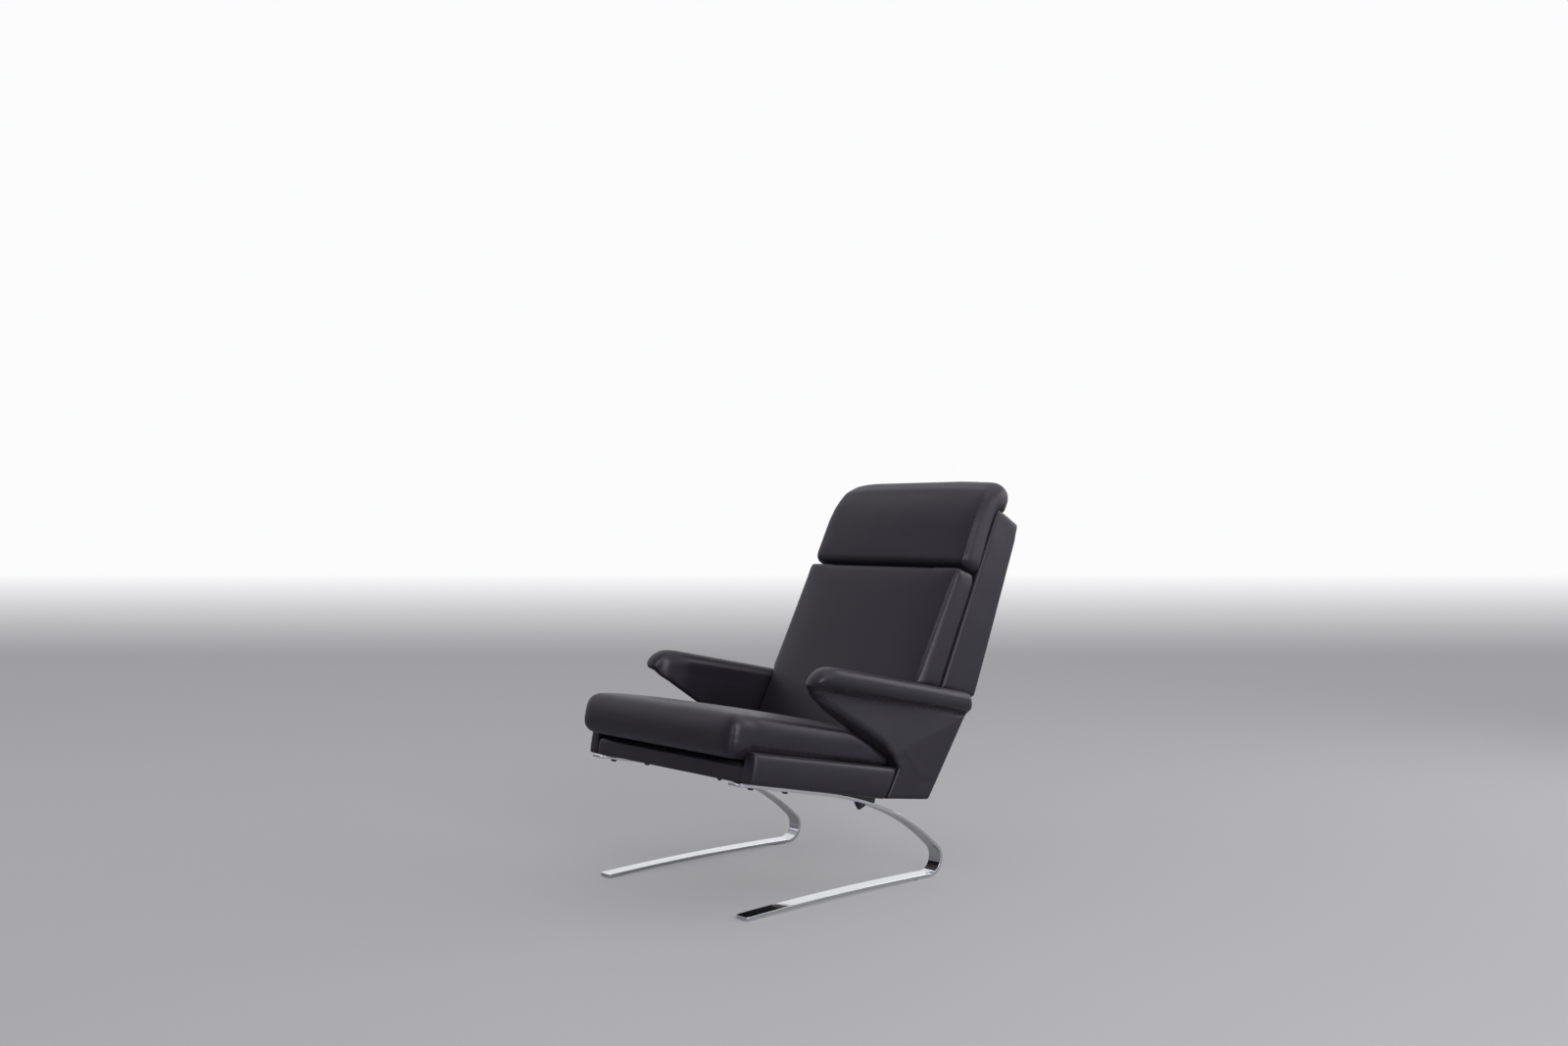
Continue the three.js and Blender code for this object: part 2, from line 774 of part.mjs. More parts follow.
function addSeatFrame() {
  const crossHalf = memberInner - touchGap;
  const ends = { front: [frameFront, crossLift], rear: [frameRear - crossThick, memberRise] };
  for (const [end, [from, foot]] of Object.entries(ends)) {
    const member = block([-crossHalf, from, foot], [crossHalf, from + crossThick, memberTop]);
    addMesh(seatUnit, `seat_member_${end}`, member, beech);
  }
  const webHalf = frameHalfWidth - webMargin;
  for (let i = 0; i < webCount; i += 1) {
    const middle = webFirst + (webLast - webFirst) * (i / (webCount - 1));
    const low = [-webHalf, middle - webWidth / 2, memberTop + touchGap];
    addMesh(seatUnit, `webbing_${i + 1}`, block(low, [webHalf, middle + webWidth / 2, webTop]), webbing);
  }
  const coverLow = [-crossHalf, frameFront + crossThick + touchGap, coverLift];
  const coverHigh = [crossHalf, frameRear - crossThick - touchGap, coverLift + coverThick];
  addMesh(seatUnit, 'dust_cover', block(coverLow, coverHigh), blackCloth);
}

function addRail(side, hand) {
  const loop = points(
    [railFront, touchGap],
    [railSeamBottom, touchGap],
    [railSeamTop, railHeight],
    [railFront, railHeightFront],
  );
  const inner = frameHalfWidth + touchGap;
  const rail = padded(loop, inner, inner + railThick, 0, railRound);
  addMesh(seatUnit, `side_rail_pad_${hand}`, mirroredTo(side, rail), leather);
}

function addApron() {
  const rear = frameFront - touchGap;
  const loop = roundedLoop(
    points([railFront, touchGap], [rear, touchGap], [rear, apronHeight], [railFront, apronHeight]),
    [0, 0, 0, apronRound + cornerSpare],
    frameHalfWidth,
  );
  const half = frameHalfWidth - touchGap;
  addMesh(seatUnit, 'front_apron', padded(loop, -half, half, apronRound, apronRound), leather);
}

// A point of the slanted seam between the padded rail and the side panel, at a height
function seamAt(up) {
  return railSeamBottom + (railSeamTop - railSeamBottom) * (up / railHeight) + touchGap;
}

// A point of the side panel's rear edge, at a height
function panelRearAt(up) {
  const share = (up - panelHeelUp) / (armTop - rollHeight - panelHeelUp);
  return panelHeelAlong + (panelRear - panelHeelAlong) * share;
}

// Side panel outline from its foot to the roll, with its nose or, for the board, cut short of it
function panelLoop(foot, whole) {
  const heelUp = Math.max(foot, panelHeelUp);
  const nose = whole
    ? [[panelNoseTop, panelTop], [panelNoseAlong, panelNoseUp], [slopeAlong, slopeUp]]
    : [[boardNose, panelTop], [boardNose, boardSlopeUp]];
  return points(
    [seamAt(foot), foot],
    [panelRearAt(heelUp), heelUp],
    [panelRearAt(panelTop), panelTop],
    ...nose,
    [crotchAlong, crotchUp],
    [seamAt(railHeight), railHeight + touchGap],
  );
}

function addSidePanel(side, hand) {
  const boardLoop = insetLoop(panelLoop(panelFoot, false), boardInset);
  const board = sideCut(new THREE.Shape(boardLoop), frameHalfWidth, boardOut);
  const bores = armBoltPlaces.map(armBore);
  addMesh(seatUnit, `arm_board_${hand}`, mirroredTo(side, subtractAll(board, bores)), beech);

  const outerFrom = frameHalfWidth + touchGap;
  const form = (point) => {
    const share = THREE.MathUtils.lerp(panelNoseShare, 1, easeShare(point.y, panelNoseAlong, crotchAlong));
    point.x = outerFrom + (point.x - outerFrom) * share;
    return point;
  };
  const outer = padded(panelLoop(panelFoot, true), outerFrom, panelOut, 0, panelRound, form);
  const room = insetLoop(panelLoop(panelFoot, false), boardInset - touchGap);
  const recess = sideCut(new THREE.Shape(room), frameHalfWidth - cutOverrun, boardOut + touchGap);
  const outerCut = subtractAll(outer, [recess, ...armBoltPlaces.map(headPocket)]);
  addMesh(seatUnit, `side_panel_outer_${hand}`, mirroredTo(side, outerCut), leather);

  const inner = padded(panelLoop(seatFoot, true), panelIn, frameHalfWidth - touchGap, panelRound, 0);
  addMesh(seatUnit, `side_panel_inner_${hand}`, mirroredTo(side, inner), leather);

  armBoltPlaces.forEach((along, i) => {
    const end = ['front', 'rear'][i];
    addMesh(seatUnit, `arm_bolt_${end}_${hand}`, mirroredTo(side, armBolt(along)), zinc);
  });
}

// Arm roll: a rounded section drawn along the arm, lower and narrower towards the nose and the tail
function addArmRoll(side, hand) {
  const stations = [];
  for (let i = 0; i <= noseSteps; i += 1) {
    const turn = (Math.PI / 2) * ((i + noseStartShare) / (noseSteps + noseStartShare));
    const along = noseAlong + rollNose * (1 - Math.cos(turn));
    const plan = Math.min(1, (along - noseAlong) / (rollWidth / 2));
    stations.push([along, Math.sin(turn), 1, 1 - rollTaperShare * (1 - Math.sqrt(plan * (2 - plan)))]);
  }
  for (let i = 0; i <= tailSteps; i += 1) {
    const turn = (Math.PI / 2) * (i / (tailSteps + noseStartShare));
    const along = panelRear - rollTail * (1 - Math.sin(turn));
    const share = Math.cos(turn);
    stations.push([along, share, tailHeightShare, 1 - rollTailTaperShare * (1 - share)]);
  }
  const loops = stations.map(([along, share, heightShare, widthShare]) => {
    const width = (rollWidth / 2) * widthShare;
    const height = rollHeight * (1 - heightShare * (1 - share));
    return Array.from({ length: sectionSides }, (_, k) => {
      const turn = (2 * Math.PI * k) / sectionSides;
      const [c, s] = [Math.cos(turn), Math.sin(turn)];
      const across = width * Math.sign(c) * Math.abs(c) ** rollSquareShare;
      const up = (height / 2) * (1 + Math.sign(s) * Math.abs(s) ** rollSquareShare);
      return new THREE.Vector3(rollCentre + across, along, armTop - rollHeight + up);
    });
  });
  const ends = THREE.ShapeUtils.triangulateShape(loops[0].map(({ x, z }) => new THREE.Vector2(x, z)), []);
  addMesh(seatUnit, `arm_roll_${hand}`, mirroredTo(side, skinLoops(loops, ends)), leather);
}

// Back shell: leaning panel with a recess in front for the back board
function addBackShell() {
  const underside = armTop + touchGap;
  const loop = [
    seatToBack(backToSeat(0, backHeightAt(0, underside)).x, underside),
    seatToBack(panelRear + rearPanelInset, underside),
    new THREE.Vector2(shellFootThick, shellFootUp),
    new THREE.Vector2(shellTopThick, shellTall),
    new THREE.Vector2(0, shellTall),
  ];
  const shell = padded(loop, -shellHalfWidth, shellHalfWidth, shellRound, shellRound);
  const side = backBoardHalfWidth + touchGap;
  const recess = block(
    [-side, -cutOverrun, -shellTall],
    [side, backBoardThick + 2 * touchGap, backBoardTop + touchGap],
  );
  addMesh(backUnit, 'back_shell', subtractAll(shell, [recess]), leather);

  const rear = touchGap + backBoardThick;
  const foot = backHeightAt(rear, memberTop + touchGap);
  const board = block([-backBoardHalfWidth, touchGap, foot], [backBoardHalfWidth, rear, backBoardTop]);
  addMesh(backUnit, 'back_board', board, beech);
}

// Lower rear panel: closes the back between the side panels, stepped over the frame's rear member
function addRearPanel() {
  const front = frameRear + touchGap;
  const step = front + rearPanelStep;
  const inset = rearPanelInset;
  const loop = points(
    [front, panelHeelUp],
    [panelRearAt(panelHeelUp) - inset, panelHeelUp],
    [panelRearAt(panelTop) - inset, panelTop],
    [panelRearAt(panelTop) - inset, armTop],
    [panelRearAt(panelTop) - inset - rearPanelThick, armTop],
    [panelRearAt(panelTop) - inset - rearPanelThick, panelTop],
    [step, memberTop + rearPanelLip],
    [step, memberTop],
    [front, memberTop],
  );
  const half = panelIn - touchGap;
  addMesh(seatUnit, 'rear_panel', sideCut(new THREE.Shape(loop), -half, half), leather);
}

// Steel angle that ties the back board to the frame's rear member
function addBracket(side, hand) {
  const near = 2 * touchGap + backBoardThick;
  const foot = memberTop + touchGap;
  const low = backToSeat(near, backHeightAt(near, foot));
  const tall = backHeightAt(near, foot) + bracketTall;
  const inner = backToSeat(near + bracketThick, backHeightAt(near + bracketThick, foot + bracketThick));
  const shape = new THREE.Shape([
    low,
    new THREE.Vector2(low.x + bracketFoot, foot),
    new THREE.Vector2(low.x + bracketFoot, foot + bracketThick),
    inner,
    backToSeat(near + bracketThick, tall),
    backToSeat(near, tall),
  ]);
  const from = bracketCentre - bracketWidth / 2;
  const bracket = mirroredTo(side, sideCut(shape, from, from + bracketWidth));
  addMesh(seatUnit, `back_bracket_${hand}`, bracket, zinc);
}

// Seat cushion: crowned top, drawn-in sides, narrower between the arms and rebated over the rails
function addSeatCushion() {
  const rearAt = (up) => backToSeat(-padThickLow, backHeightAt(-padThickLow, up)).x - seatRearGap;
  const corner = seatRound + cornerSpare;
  const loop = roundedLoop(
    points(
      [-seatFrontReach, seatFoot],
      [rearAt(seatFoot), seatFoot],
      [rearAt(seatTopUp), seatTopUp],
      [-seatFrontReach, seatTopUp],
    ),
    [corner, corner, corner, seatNoseRound],
    loopSpacing,
  );
  const length = rearAt(seatTopUp) + seatFrontReach;
  const form = (point) => {
    const across = 1 - (point.x / seatWide) ** 2;
    const along = Math.sin(Math.PI * THREE.MathUtils.clamp((point.y + seatFrontReach) / length, 0, 1));
    const width = THREE.MathUtils.lerp(seatWide, cushionNarrow, easeShare(point.y, taperFront, taperRear));
    const lift = easeShare(point.z, seatFoot, seatTopUp);
    point.x *= (width - seatDraw * along) / seatWide;
    point.z += seatCrown * across * Math.sqrt(along) * lift;
    return point;
  };
  const cushion = padded(loop, -seatWide, seatWide, seatRound, seatRound, form);
  const rebates = [1, -1].map((side) => mirroredTo(side, block(
    [frameHalfWidth - cutOverrun, railFront - seatRebateGap, touchGap],
    [seatWide + seatFrontReach, railSeamTop, railHeight + seatRebateGap],
  )));
  addMesh(seatUnit, 'seat_cushion', subtractAll(cushion, rebates), leather);
}

// The room of the back shell below a height, which leaves a flat back on what lies against it
function shellRoom(halfWidth, top) {
  const reach = halfWidth + cutOverrun;
  return block([-reach, -touchGap, -shellTall], [reach, shellFootThick, top]);
}

// Back pad: thicker low down, crowned in front, with shoulders over the arm rolls
function addBackPad() {
  const corner = padRound + cornerSpare;
  const low = backHeightAt(-padThickLow, seatFoot);
  const loop = roundedLoop(
    points(
      [corner, backHeightAt(corner, seatFoot)],
      [corner, padTop],
      [-padThickTop, padTop],
      [-padThickLow, low],
    ),
    [0, 0, corner, corner],
    loopSpacing,
  );
  const form = (point) => {
    const across = 1 - (point.x / padWide) ** 2;
    const tall = Math.sin(Math.PI * THREE.MathUtils.clamp((point.z - low) / (padTop - low), 0, 1));
    point.x *= (padWide - padDraw * tall) / padWide;
    const bow = Math.sqrt(tall) * easeShare(-point.y, 0, padThickTop) * padBowShare(point.z);
    point.y -= padCrown * across * bow;
    return point;
  };
  const pad = padded(loop, -padWide, padWide, padRound, padRound, form);
  const shoulders = [1, -1].map((side) => mirroredTo(side, block(
    [cushionNarrow, frameFront, 0],
    [padWide + cutOverrun, backAlong + cutOverrun, armTop + padShoulderLift],
  )).applyMatrix4(toBackUnit));
  addMesh(backUnit, 'back_pad', subtractAll(pad, [...shoulders, shellRoom(padWide, shellTall)]), leather);
}

// The back pad is crowned above the seat cushion only, which lies against its lower part
function padBowShare(height) {
  return easeShare(height, backHeightAt(-padThickLow, seatTopUp), backHeightAt(-padThickLow, armTop));
}

// Headrest cushion: a pad in front of the shell that laps over its top
function addHeadrest() {
  const corner = headRound + cornerSpare;
  const loop = roundedLoop(
    points(
      [headLap, headLow],
      [headLap, headTop - headBack],
      [0, headTop],
      [-headThick + headBrowIn, headBrow],
      [-headThick, headPlaneUp],
      [-headThick, headLow],
    ),
    [0, headLapRound, headTopRound, headPlaneRound, headPlaneRound, corner],
    loopSpacing,
  );
  const form = (point) => {
    const across = 1 - (point.x / headWide) ** 2;
    const front = easeShare(-point.y, 0, headThick);
    const tall = Math.sin(Math.PI * THREE.MathUtils.clamp((point.z - headLow) / (headTop - headLow), 0, 1));
    point.x *= (headWide - headDraw * tall) / headWide;
    point.y -= headCrown * across * front * Math.sqrt(tall);
    point.z += headCrown * across * easeShare(point.z, shellTall, headTop);
    return point;
  };
  const hub = new THREE.Vector2((headLap - headThick) / 2, (headLow + headTop) / 2);
  const cushion = padded(loop, -headWide, headWide, headRound, headRound, form, hub);
  const cut = subtractAll(cushion, [shellRoom(headWide, shellTall + touchGap)]);
  addMesh(backUnit, 'headrest_cushion', cut, leather);
}

for (const [hand, side] of Object.entries({ left: 1, right: -1 })) {
  addSpringBar(side, hand);
  addSideMember(side, hand);
  addRail(side, hand);
  addSidePanel(side, hand);
  addArmRoll(side, hand);
  addBracket(side, hand);
}
addSeatFrame();
addApron();
addBackShell();
addRearPanel();
addSeatCushion();
addBackPad();
addHeadrest();

// The origin is on the floor under the middle of the chair
seatUnit.add(backUnit);
chair.add(seatUnit);
chair.updateMatrixWorld(true);
const reach = new THREE.Box3().setFromObject(chair, true);
chair.position.y = -(reach.min.y + reach.max.y) / 2;

export default chair;
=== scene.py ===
# %% [markdown]
# Cantilever lounge chair in black leather on two chromed flat-steel springs.
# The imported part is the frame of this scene: it says where everything is, in metres.
# X runs across the chair to the sitter's left, Y to the rear and Z up from the floor.

# %% Load the frame
import math
import bmesh
import bpy
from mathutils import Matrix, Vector, noise
from mathutils.bvhtree import BVHTree
from mathutils.kdtree import KDTree


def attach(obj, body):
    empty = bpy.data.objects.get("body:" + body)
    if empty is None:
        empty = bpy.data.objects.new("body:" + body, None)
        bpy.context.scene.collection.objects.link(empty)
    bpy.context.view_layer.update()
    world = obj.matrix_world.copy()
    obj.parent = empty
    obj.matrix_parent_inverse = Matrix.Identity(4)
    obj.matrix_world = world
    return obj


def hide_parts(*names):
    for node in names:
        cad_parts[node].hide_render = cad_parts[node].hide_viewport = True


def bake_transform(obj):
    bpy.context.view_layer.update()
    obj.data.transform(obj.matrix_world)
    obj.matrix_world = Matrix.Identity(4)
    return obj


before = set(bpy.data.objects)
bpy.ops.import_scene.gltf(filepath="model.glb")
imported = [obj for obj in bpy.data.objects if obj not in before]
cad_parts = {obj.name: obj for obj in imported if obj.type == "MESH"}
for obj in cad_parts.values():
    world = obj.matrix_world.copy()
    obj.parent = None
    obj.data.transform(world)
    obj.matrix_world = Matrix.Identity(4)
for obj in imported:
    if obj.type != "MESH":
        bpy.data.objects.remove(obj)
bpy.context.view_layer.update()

MM = 0.001

# %% [markdown]
# The seat, arms and cushions are all built on a seat that tips back by 11.5 degrees,
# and the back leans a little more. Two small functions turn a maker's measures, such as
# "so far along the seat and so far up from it", into places in the room.

# %% Two slanted rulers
SEAT_TILT = math.radians(11.5)
BACK_LEAN = math.radians(14.6)
SEAT_FRONT = Vector((0, -0.463861, 0.305370))
SEAT_ALONG = Vector((0, math.cos(SEAT_TILT), -math.sin(SEAT_TILT)))
SEAT_UP = Vector((0, math.sin(SEAT_TILT), math.cos(SEAT_TILT)))
BACK_DEPTH = math.cos(BACK_LEAN) * SEAT_ALONG - math.sin(BACK_LEAN) * SEAT_UP
BACK_HEIGHT = math.sin(BACK_LEAN) * SEAT_ALONG + math.cos(BACK_LEAN) * SEAT_UP
ACROSS = Vector((1, 0, 0))
SIDES = (1, -1)


def on_seat(across, along, up):
    """A place measured in millimetres from the middle of the seat frame's front edge."""
    return SEAT_FRONT + (across * ACROSS + along * SEAT_ALONG + up * SEAT_UP) * MM


BACK_FOOT = on_seat(0, 615, 293)


def on_back(across, depth, height):
    """A place measured in millimetres from the foot of the back shell's front face."""
    return BACK_FOOT + (across * ACROSS + depth * BACK_DEPTH + height * BACK_HEIGHT) * MM


print("foot of the back at", [round(v, 4) for v in BACK_FOOT])

# %% [markdown]
# The camera stands where the photographer stood: eye height, three quarters from the
# front and a little below the headrest, with a wide lens and its horizon level.

# %% Camera
CAMERA_PLACE = (2.656, -2.4841, 0.87)
CAMERA_TURN = 47.9
CAMERA_LEVEL = 90
CAMERA_LENS = 33.03
SENSOR_WIDTH = 36

camera_data = bpy.data.cameras.new("camera")
camera_data.lens = CAMERA_LENS
camera_data.sensor_width = SENSOR_WIDTH
camera = bpy.data.objects.new("camera", camera_data)
camera.location = CAMERA_PLACE
camera.rotation_euler = (math.radians(CAMERA_LEVEL), 0, math.radians(CAMERA_TURN))
bpy.context.scene.collection.objects.link(camera)
bpy.context.scene.camera = camera
bpy.context.scene.view_settings.view_transform = "Standard"
print("camera lens", CAMERA_LENS, "mm")

# %% [markdown]
# Every finish is painted by nodes, so that it stays sharp at any distance. These short
# helpers lay nodes in a material and join them, so that each recipe below reads as a list.

# %% Helpers for materials


def new_finish(name):
    """An empty node material with its shader, and the tree to add to."""
    material = bpy.data.materials.new(name)
    material.use_nodes = True
    tree = material.node_tree
    shader = tree.nodes["Principled BSDF"]
    return material, tree, shader


def add_node(tree, kind, inputs=(), **settings):
    """A node with its settings made and its named inputs filled or joined."""
    node = tree.nodes.new(kind)
    for key, value in settings.items():
        setattr(node, key, value)
    for key, value in dict(inputs).items():
        if isinstance(value, bpy.types.NodeSocket):
            tree.links.new(value, node.inputs[key])
        else:
            node.inputs[key].default_value = value
    return node


def object_place(tree):
    """The place on the piece itself, so that a pattern moves with it."""
    return tree.nodes.new("ShaderNodeTexCoord").outputs["Object"]


def cloudy(tree, place, **values):
    """A noise pattern from 0 to 1, with the node's own names for its values."""
    return add_node(tree, "ShaderNodeTexNoise", {"Vector": place, **values}).outputs["Fac"]


def combine(tree, operation, first, second):
    """One value from two, such as their product or the larger of them."""
    return add_node(
        tree, "ShaderNodeMath", {0: first, 1: second}, operation=operation
    ).outputs["Value"]


def mix_shaders(tree, share, first, second):
    return add_node(
        tree, "ShaderNodeMixShader", {0: share, 1: first, 2: second}
    ).outputs["Shader"]


def spread(tree, value, low, high, start=0, end=1):
    """Goes from low to high as the value goes from its start to its end."""
    return add_node(
        tree, "ShaderNodeMapRange",
        {"Value": value, "From Min": start, "From Max": end, "To Min": low, "To Max": high},
    ).outputs["Result"]


def blend_colours(tree, value, first, second):
    """Goes from the first colour to the second as the pattern goes from 0 to 1."""
    ramp = tree.nodes.new("ShaderNodeValToRGB")
    ramp.color_ramp.elements[0].color = (*first, 1)
    ramp.color_ramp.elements[1].color = (*second, 1)
    tree.links.new(value, ramp.inputs["Fac"])
    return ramp.outputs["Color"]


def paint(tree, shader, pattern, colours, gloss):
    """Lets colour and gloss follow one pattern."""
    tree.links.new(blend_colours(tree, pattern, *colours), shader.inputs["Base Color"])
    tree.links.new(spread(tree, pattern, *gloss), shader.inputs["Roughness"])


def emboss(tree, shader, height, strength, distance):
    """Presses a height pattern into the shader's normal."""
    bump = add_node(
        tree, "ShaderNodeBump", {"Height": height, "Strength": strength, "Distance": distance}
    )
    tree.links.new(bump.outputs["Normal"], shader.inputs["Normal"])


# %% [markdown]
# The leather is smooth black hide with a low sheen. Real hide has three scales of detail:
# pores and pebbles about a millimetre across, faint stretch lines a few millimetres apart, and
# slow changes of colour and gloss as wide as a hand. Each comes from its own noise.

# %% Black leather
HIDE_COLOURS = ((0.0060, 0.0052, 0.0082), (0.0110, 0.0098, 0.0145))
HIDE_GLOSS = (0.40, 0.50)
HIDE_RELIEF = 0.0004
MIRRORED_TINT = (0.91, 0.85, 1, 1)
SHEEN_TINT = (0.75, 0.72, 0.85, 1)


def black_leather():
    """Smooth hide, with pebbles and creases in its surface and slow changes of colour and gloss."""
    material, tree, shader = new_finish("black_leather")
    place = object_place(tree)
    pebbles = add_node(
        tree, "ShaderNodeTexVoronoi", {"Vector": place, "Scale": 900, "Randomness": 0.9},
        feature="SMOOTH_F1",
    ).outputs["Distance"]
    creases = cloudy(tree, place, Scale=240, Detail=6, Roughness=0.6)
    hide = cloudy(tree, place, Scale=9, Detail=4, Distortion=0.6)
    grain = add_node(
        tree, "ShaderNodeMix", {"Factor": 0.45, "A": pebbles, "B": creases}, data_type="FLOAT"
    ).outputs["Result"]
    paint(tree, shader, hide, HIDE_COLOURS, HIDE_GLOSS)
    shader.inputs["Specular IOR Level"].default_value = 0.46
    shader.inputs["Specular Tint"].default_value = MIRRORED_TINT
    shader.inputs["Sheen Weight"].default_value = 0.06
    shader.inputs["Sheen Roughness"].default_value = 0.45
    shader.inputs["Sheen Tint"].default_value = SHEEN_TINT
    emboss(tree, shader, grain, 0.22, HIDE_RELIEF)
    return material


# %% [markdown]
# The springs are polished, chromed spring steel. Chrome is nearly a mirror, so what makes
# it look real is what it mirrors, plus a very slight change of gloss from years of wiping.
# The zinc-plated and black-lacquered fixings, the clear-grey glides and the black cord that
# paints the shadow line in each seam differ from it only in their values. One recipe serves them
# all: a noise that changes colour, gloss and surface together.

# %% Metals, plastic and painted seam shadow
CHROME = (0.68, 0.69, 0.715)
ZINC = (0.55, 0.55, 0.54)
LACQUER = ((0.010, 0.010, 0.011), (0.024, 0.024, 0.026))
GLIDE_GREY = ((0.30, 0.31, 0.32), (0.45, 0.46, 0.47))
# Black for the cord that paints the shadow line in each seam.
SEAM_SHADOW_BLACK = ((0.004, 0.004, 0.005), (0.012, 0.012, 0.014))
DULLED = 0.93
WEAR_RELIEF = 0.0002


def worn_finish(name, scale, detail, colours, gloss, bump, metallic=0):
    """A finish whose colour, gloss and surface follow one noise of this scale and detail."""
    material, tree, shader = new_finish(name)
    wear = cloudy(tree, object_place(tree), Scale=scale, Detail=detail)
    paint(tree, shader, wear, colours, gloss)
    shader.inputs["Metallic"].default_value = metallic
    emboss(tree, shader, wear, bump, WEAR_RELIEF)
    return material


def dulled_and_clean(colour):
    return tuple(DULLED * v for v in colour), colour


# %% [markdown]
# Under the seat are the parts that the maker hides: a beech frame and back board, a black
# dust cloth and elastic webbing. Beech shows fine lines along its grain, and cloth and webbing
# show their threads.

# %% Wood, cloth and webbing
BEECH_COLOURS = ((0.42, 0.24, 0.12), (0.62, 0.41, 0.24))
GRAIN_STRETCH = (6, 60, 60)
FIBRE_RELIEF = 0.0004


def beech():
    """Pale wood with its grain along the chair's width."""
    material, tree, shader = new_finish("beech")
    stretched = add_node(
        tree, "ShaderNodeMapping", {"Vector": object_place(tree), "Scale": GRAIN_STRETCH}
    ).outputs["Vector"]
    grain = cloudy(tree, stretched, Scale=4, Detail=8, Roughness=0.6)
    paint(tree, shader, grain, BEECH_COLOURS, (0.5, 0.65))
    emboss(tree, shader, grain, 0.15, FIBRE_RELIEF)
    return material


def woven(name, dark, light, scale):
    """Two crossed sets of threads, for a cloth or a webbing."""
    material, tree, shader = new_finish(name)
    place = object_place(tree)
    threads = []
    for direction in ("X", "Y"):
        threads.append(
            add_node(
                tree, "ShaderNodeTexWave", {"Vector": place, "Scale": scale, "Distortion": 0.4},
                bands_direction=direction,
            ).outputs["Fac"]
        )
    weave = combine(tree, "MULTIPLY", *threads)
    paint(tree, shader, weave, (dark, light), (0.9, 0.9))
    emboss(tree, shader, weave, 0.3, FIBRE_RELIEF)
    return material


FINISHES = {
    "black_leather": black_leather(),
    "chrome": worn_finish("chrome", 30, 5, dulled_and_clean(CHROME), (0.03, 0.08), 0.02, 1),
    "black_steel": worn_finish("black_steel", 160, 6, LACQUER, (0.3, 0.5), 0.12),
    "zinc_steel": worn_finish("zinc_steel", 90, 5, dulled_and_clean(ZINC), (0.22, 0.4), 0.1, 1),
    "beech": beech(),
    "black_cloth": woven("black_cloth", (0.006, 0.006, 0.007), (0.03, 0.03, 0.032), 330),
    "webbing": woven("webbing", (0.012, 0.012, 0.012), (0.07, 0.065, 0.06), 200),
    "glide_plastic": worn_finish("glide_plastic", 220, 4, GLIDE_GREY, (0.3, 0.5), 0.1),
}
# The seam cord's finish: painted shade for the dark shadow line of the seams.
SEAM_SHADOW_FINISH = worn_finish("seam_thread", 1400, 2, SEAM_SHADOW_BLACK, (0.75, 0.75), 0.3)
print("finishes:", ", ".join(sorted(FINISHES)))

# %% [markdown]
# The frame's own solids that stay in sight, such as the bolts, get the finish of their slot.
# Only their material changes.

# %% Give the frame's solids their finishes
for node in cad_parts.values():
    for material_slot in node.material_slots:
        finish_name = material_slot.material.name.split(".")[0]
        if finish_name in FINISHES:
            material_slot.material = FINISHES[finish_name]
        else:
            print("no finish for", node.name, finish_name)

# %% [markdown]
# Small helpers serve every piece: they make an object from a mesh, run one modifier at a
# time, and round or plump a surface. Objects stay at the origin, unturned, and their place
# is in their mesh, so that patterns and poses agree.

# %% Helpers for pieces
SAME_PLACE = 0.02


def new_piece(name, mesh, finish):
    piece = bpy.data.objects.new(name, mesh)
    bpy.context.scene.collection.objects.link(piece)
    mesh.materials.clear()
    mesh.materials.append(finish)
    return piece


def make_plain(piece):
    """Turns the piece's modifiers into plain mesh."""
    depsgraph = bpy.context.evaluated_depsgraph_get()
    mesh = bpy.data.meshes.new_from_object(piece.evaluated_get(depsgraph))
    piece.modifiers.clear()
    old = piece.data
    piece.data = mesh
    bpy.data.meshes.remove(old)
    return piece


def modify(piece, kind, **settings):
    """Runs one modifier with these settings, and keeps its result as plain mesh."""
    modifier = piece.modifiers.new(kind.lower(), kind)
    for key, value in settings.items():
        setattr(modifier, key, value)
    return make_plain(piece)


def triangles(piece):
    piece.data.calc_loop_triangles()
    return len(piece.data.loop_triangles)


def solid_copy(name, nodes, finish, fillers=(), reshape=None):
    """A closed copy of some of the frame's solids, to cut a skin or a cushion from.

    A filler is a list of corners whose hull is added. A reshape moves each corner."""
    mesh = bpy.data.meshes.new(name)
    shape = bmesh.new()
    for node in nodes:
        shape.from_mesh(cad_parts[node].data)
    for vertex in shape.verts:
        vertex.co = reshape(vertex.co) if reshape else vertex.co
    for corners in fillers:
        added = [shape.verts.new(corner) for corner in corners]
        bmesh.ops.convex_hull(shape, input=added)
    bmesh.ops.remove_doubles(shape, verts=shape.verts, dist=SAME_PLACE * MM)
    bmesh.ops.recalc_face_normals(shape, faces=shape.faces)
    shape.to_mesh(mesh)
    shape.free()
    mesh.update()
    return new_piece(name, mesh, finish)


def even_faces(piece, size):
    """Rebuilds the surface from small square faces of one size."""
    modify(piece, "REMESH", mode="VOXEL", voxel_size=size * MM, use_smooth_shade=True)


def relax(piece, times):
    """Rounds edges and evens out the surface."""
    modify(piece, "SMOOTH", iterations=times)


def mark(piece, name, weight_of):
    """Gives each vertex the weight from 0 to 1 that is worked out for it."""
    group = piece.vertex_groups.new(name=name)
    for vertex in piece.data.vertices:
        weight = weight_of(vertex)
        if weight > 0:
            group.add([vertex.index], weight, "REPLACE")
    return group.name


def relax_where(piece, times, weight_of):
    """Rounds only the part of the surface that has a weight."""
    piece.data.update()
    marked = mark(piece, "relaxed", weight_of)
    modify(piece, "SMOOTH", iterations=times, vertex_group=marked)
    piece.vertex_groups.clear()


def plump(piece, amount):
    """Moves the whole surface outwards by the amount in millimetres."""
    modify(piece, "DISPLACE", strength=amount * MM, mid_level=0)


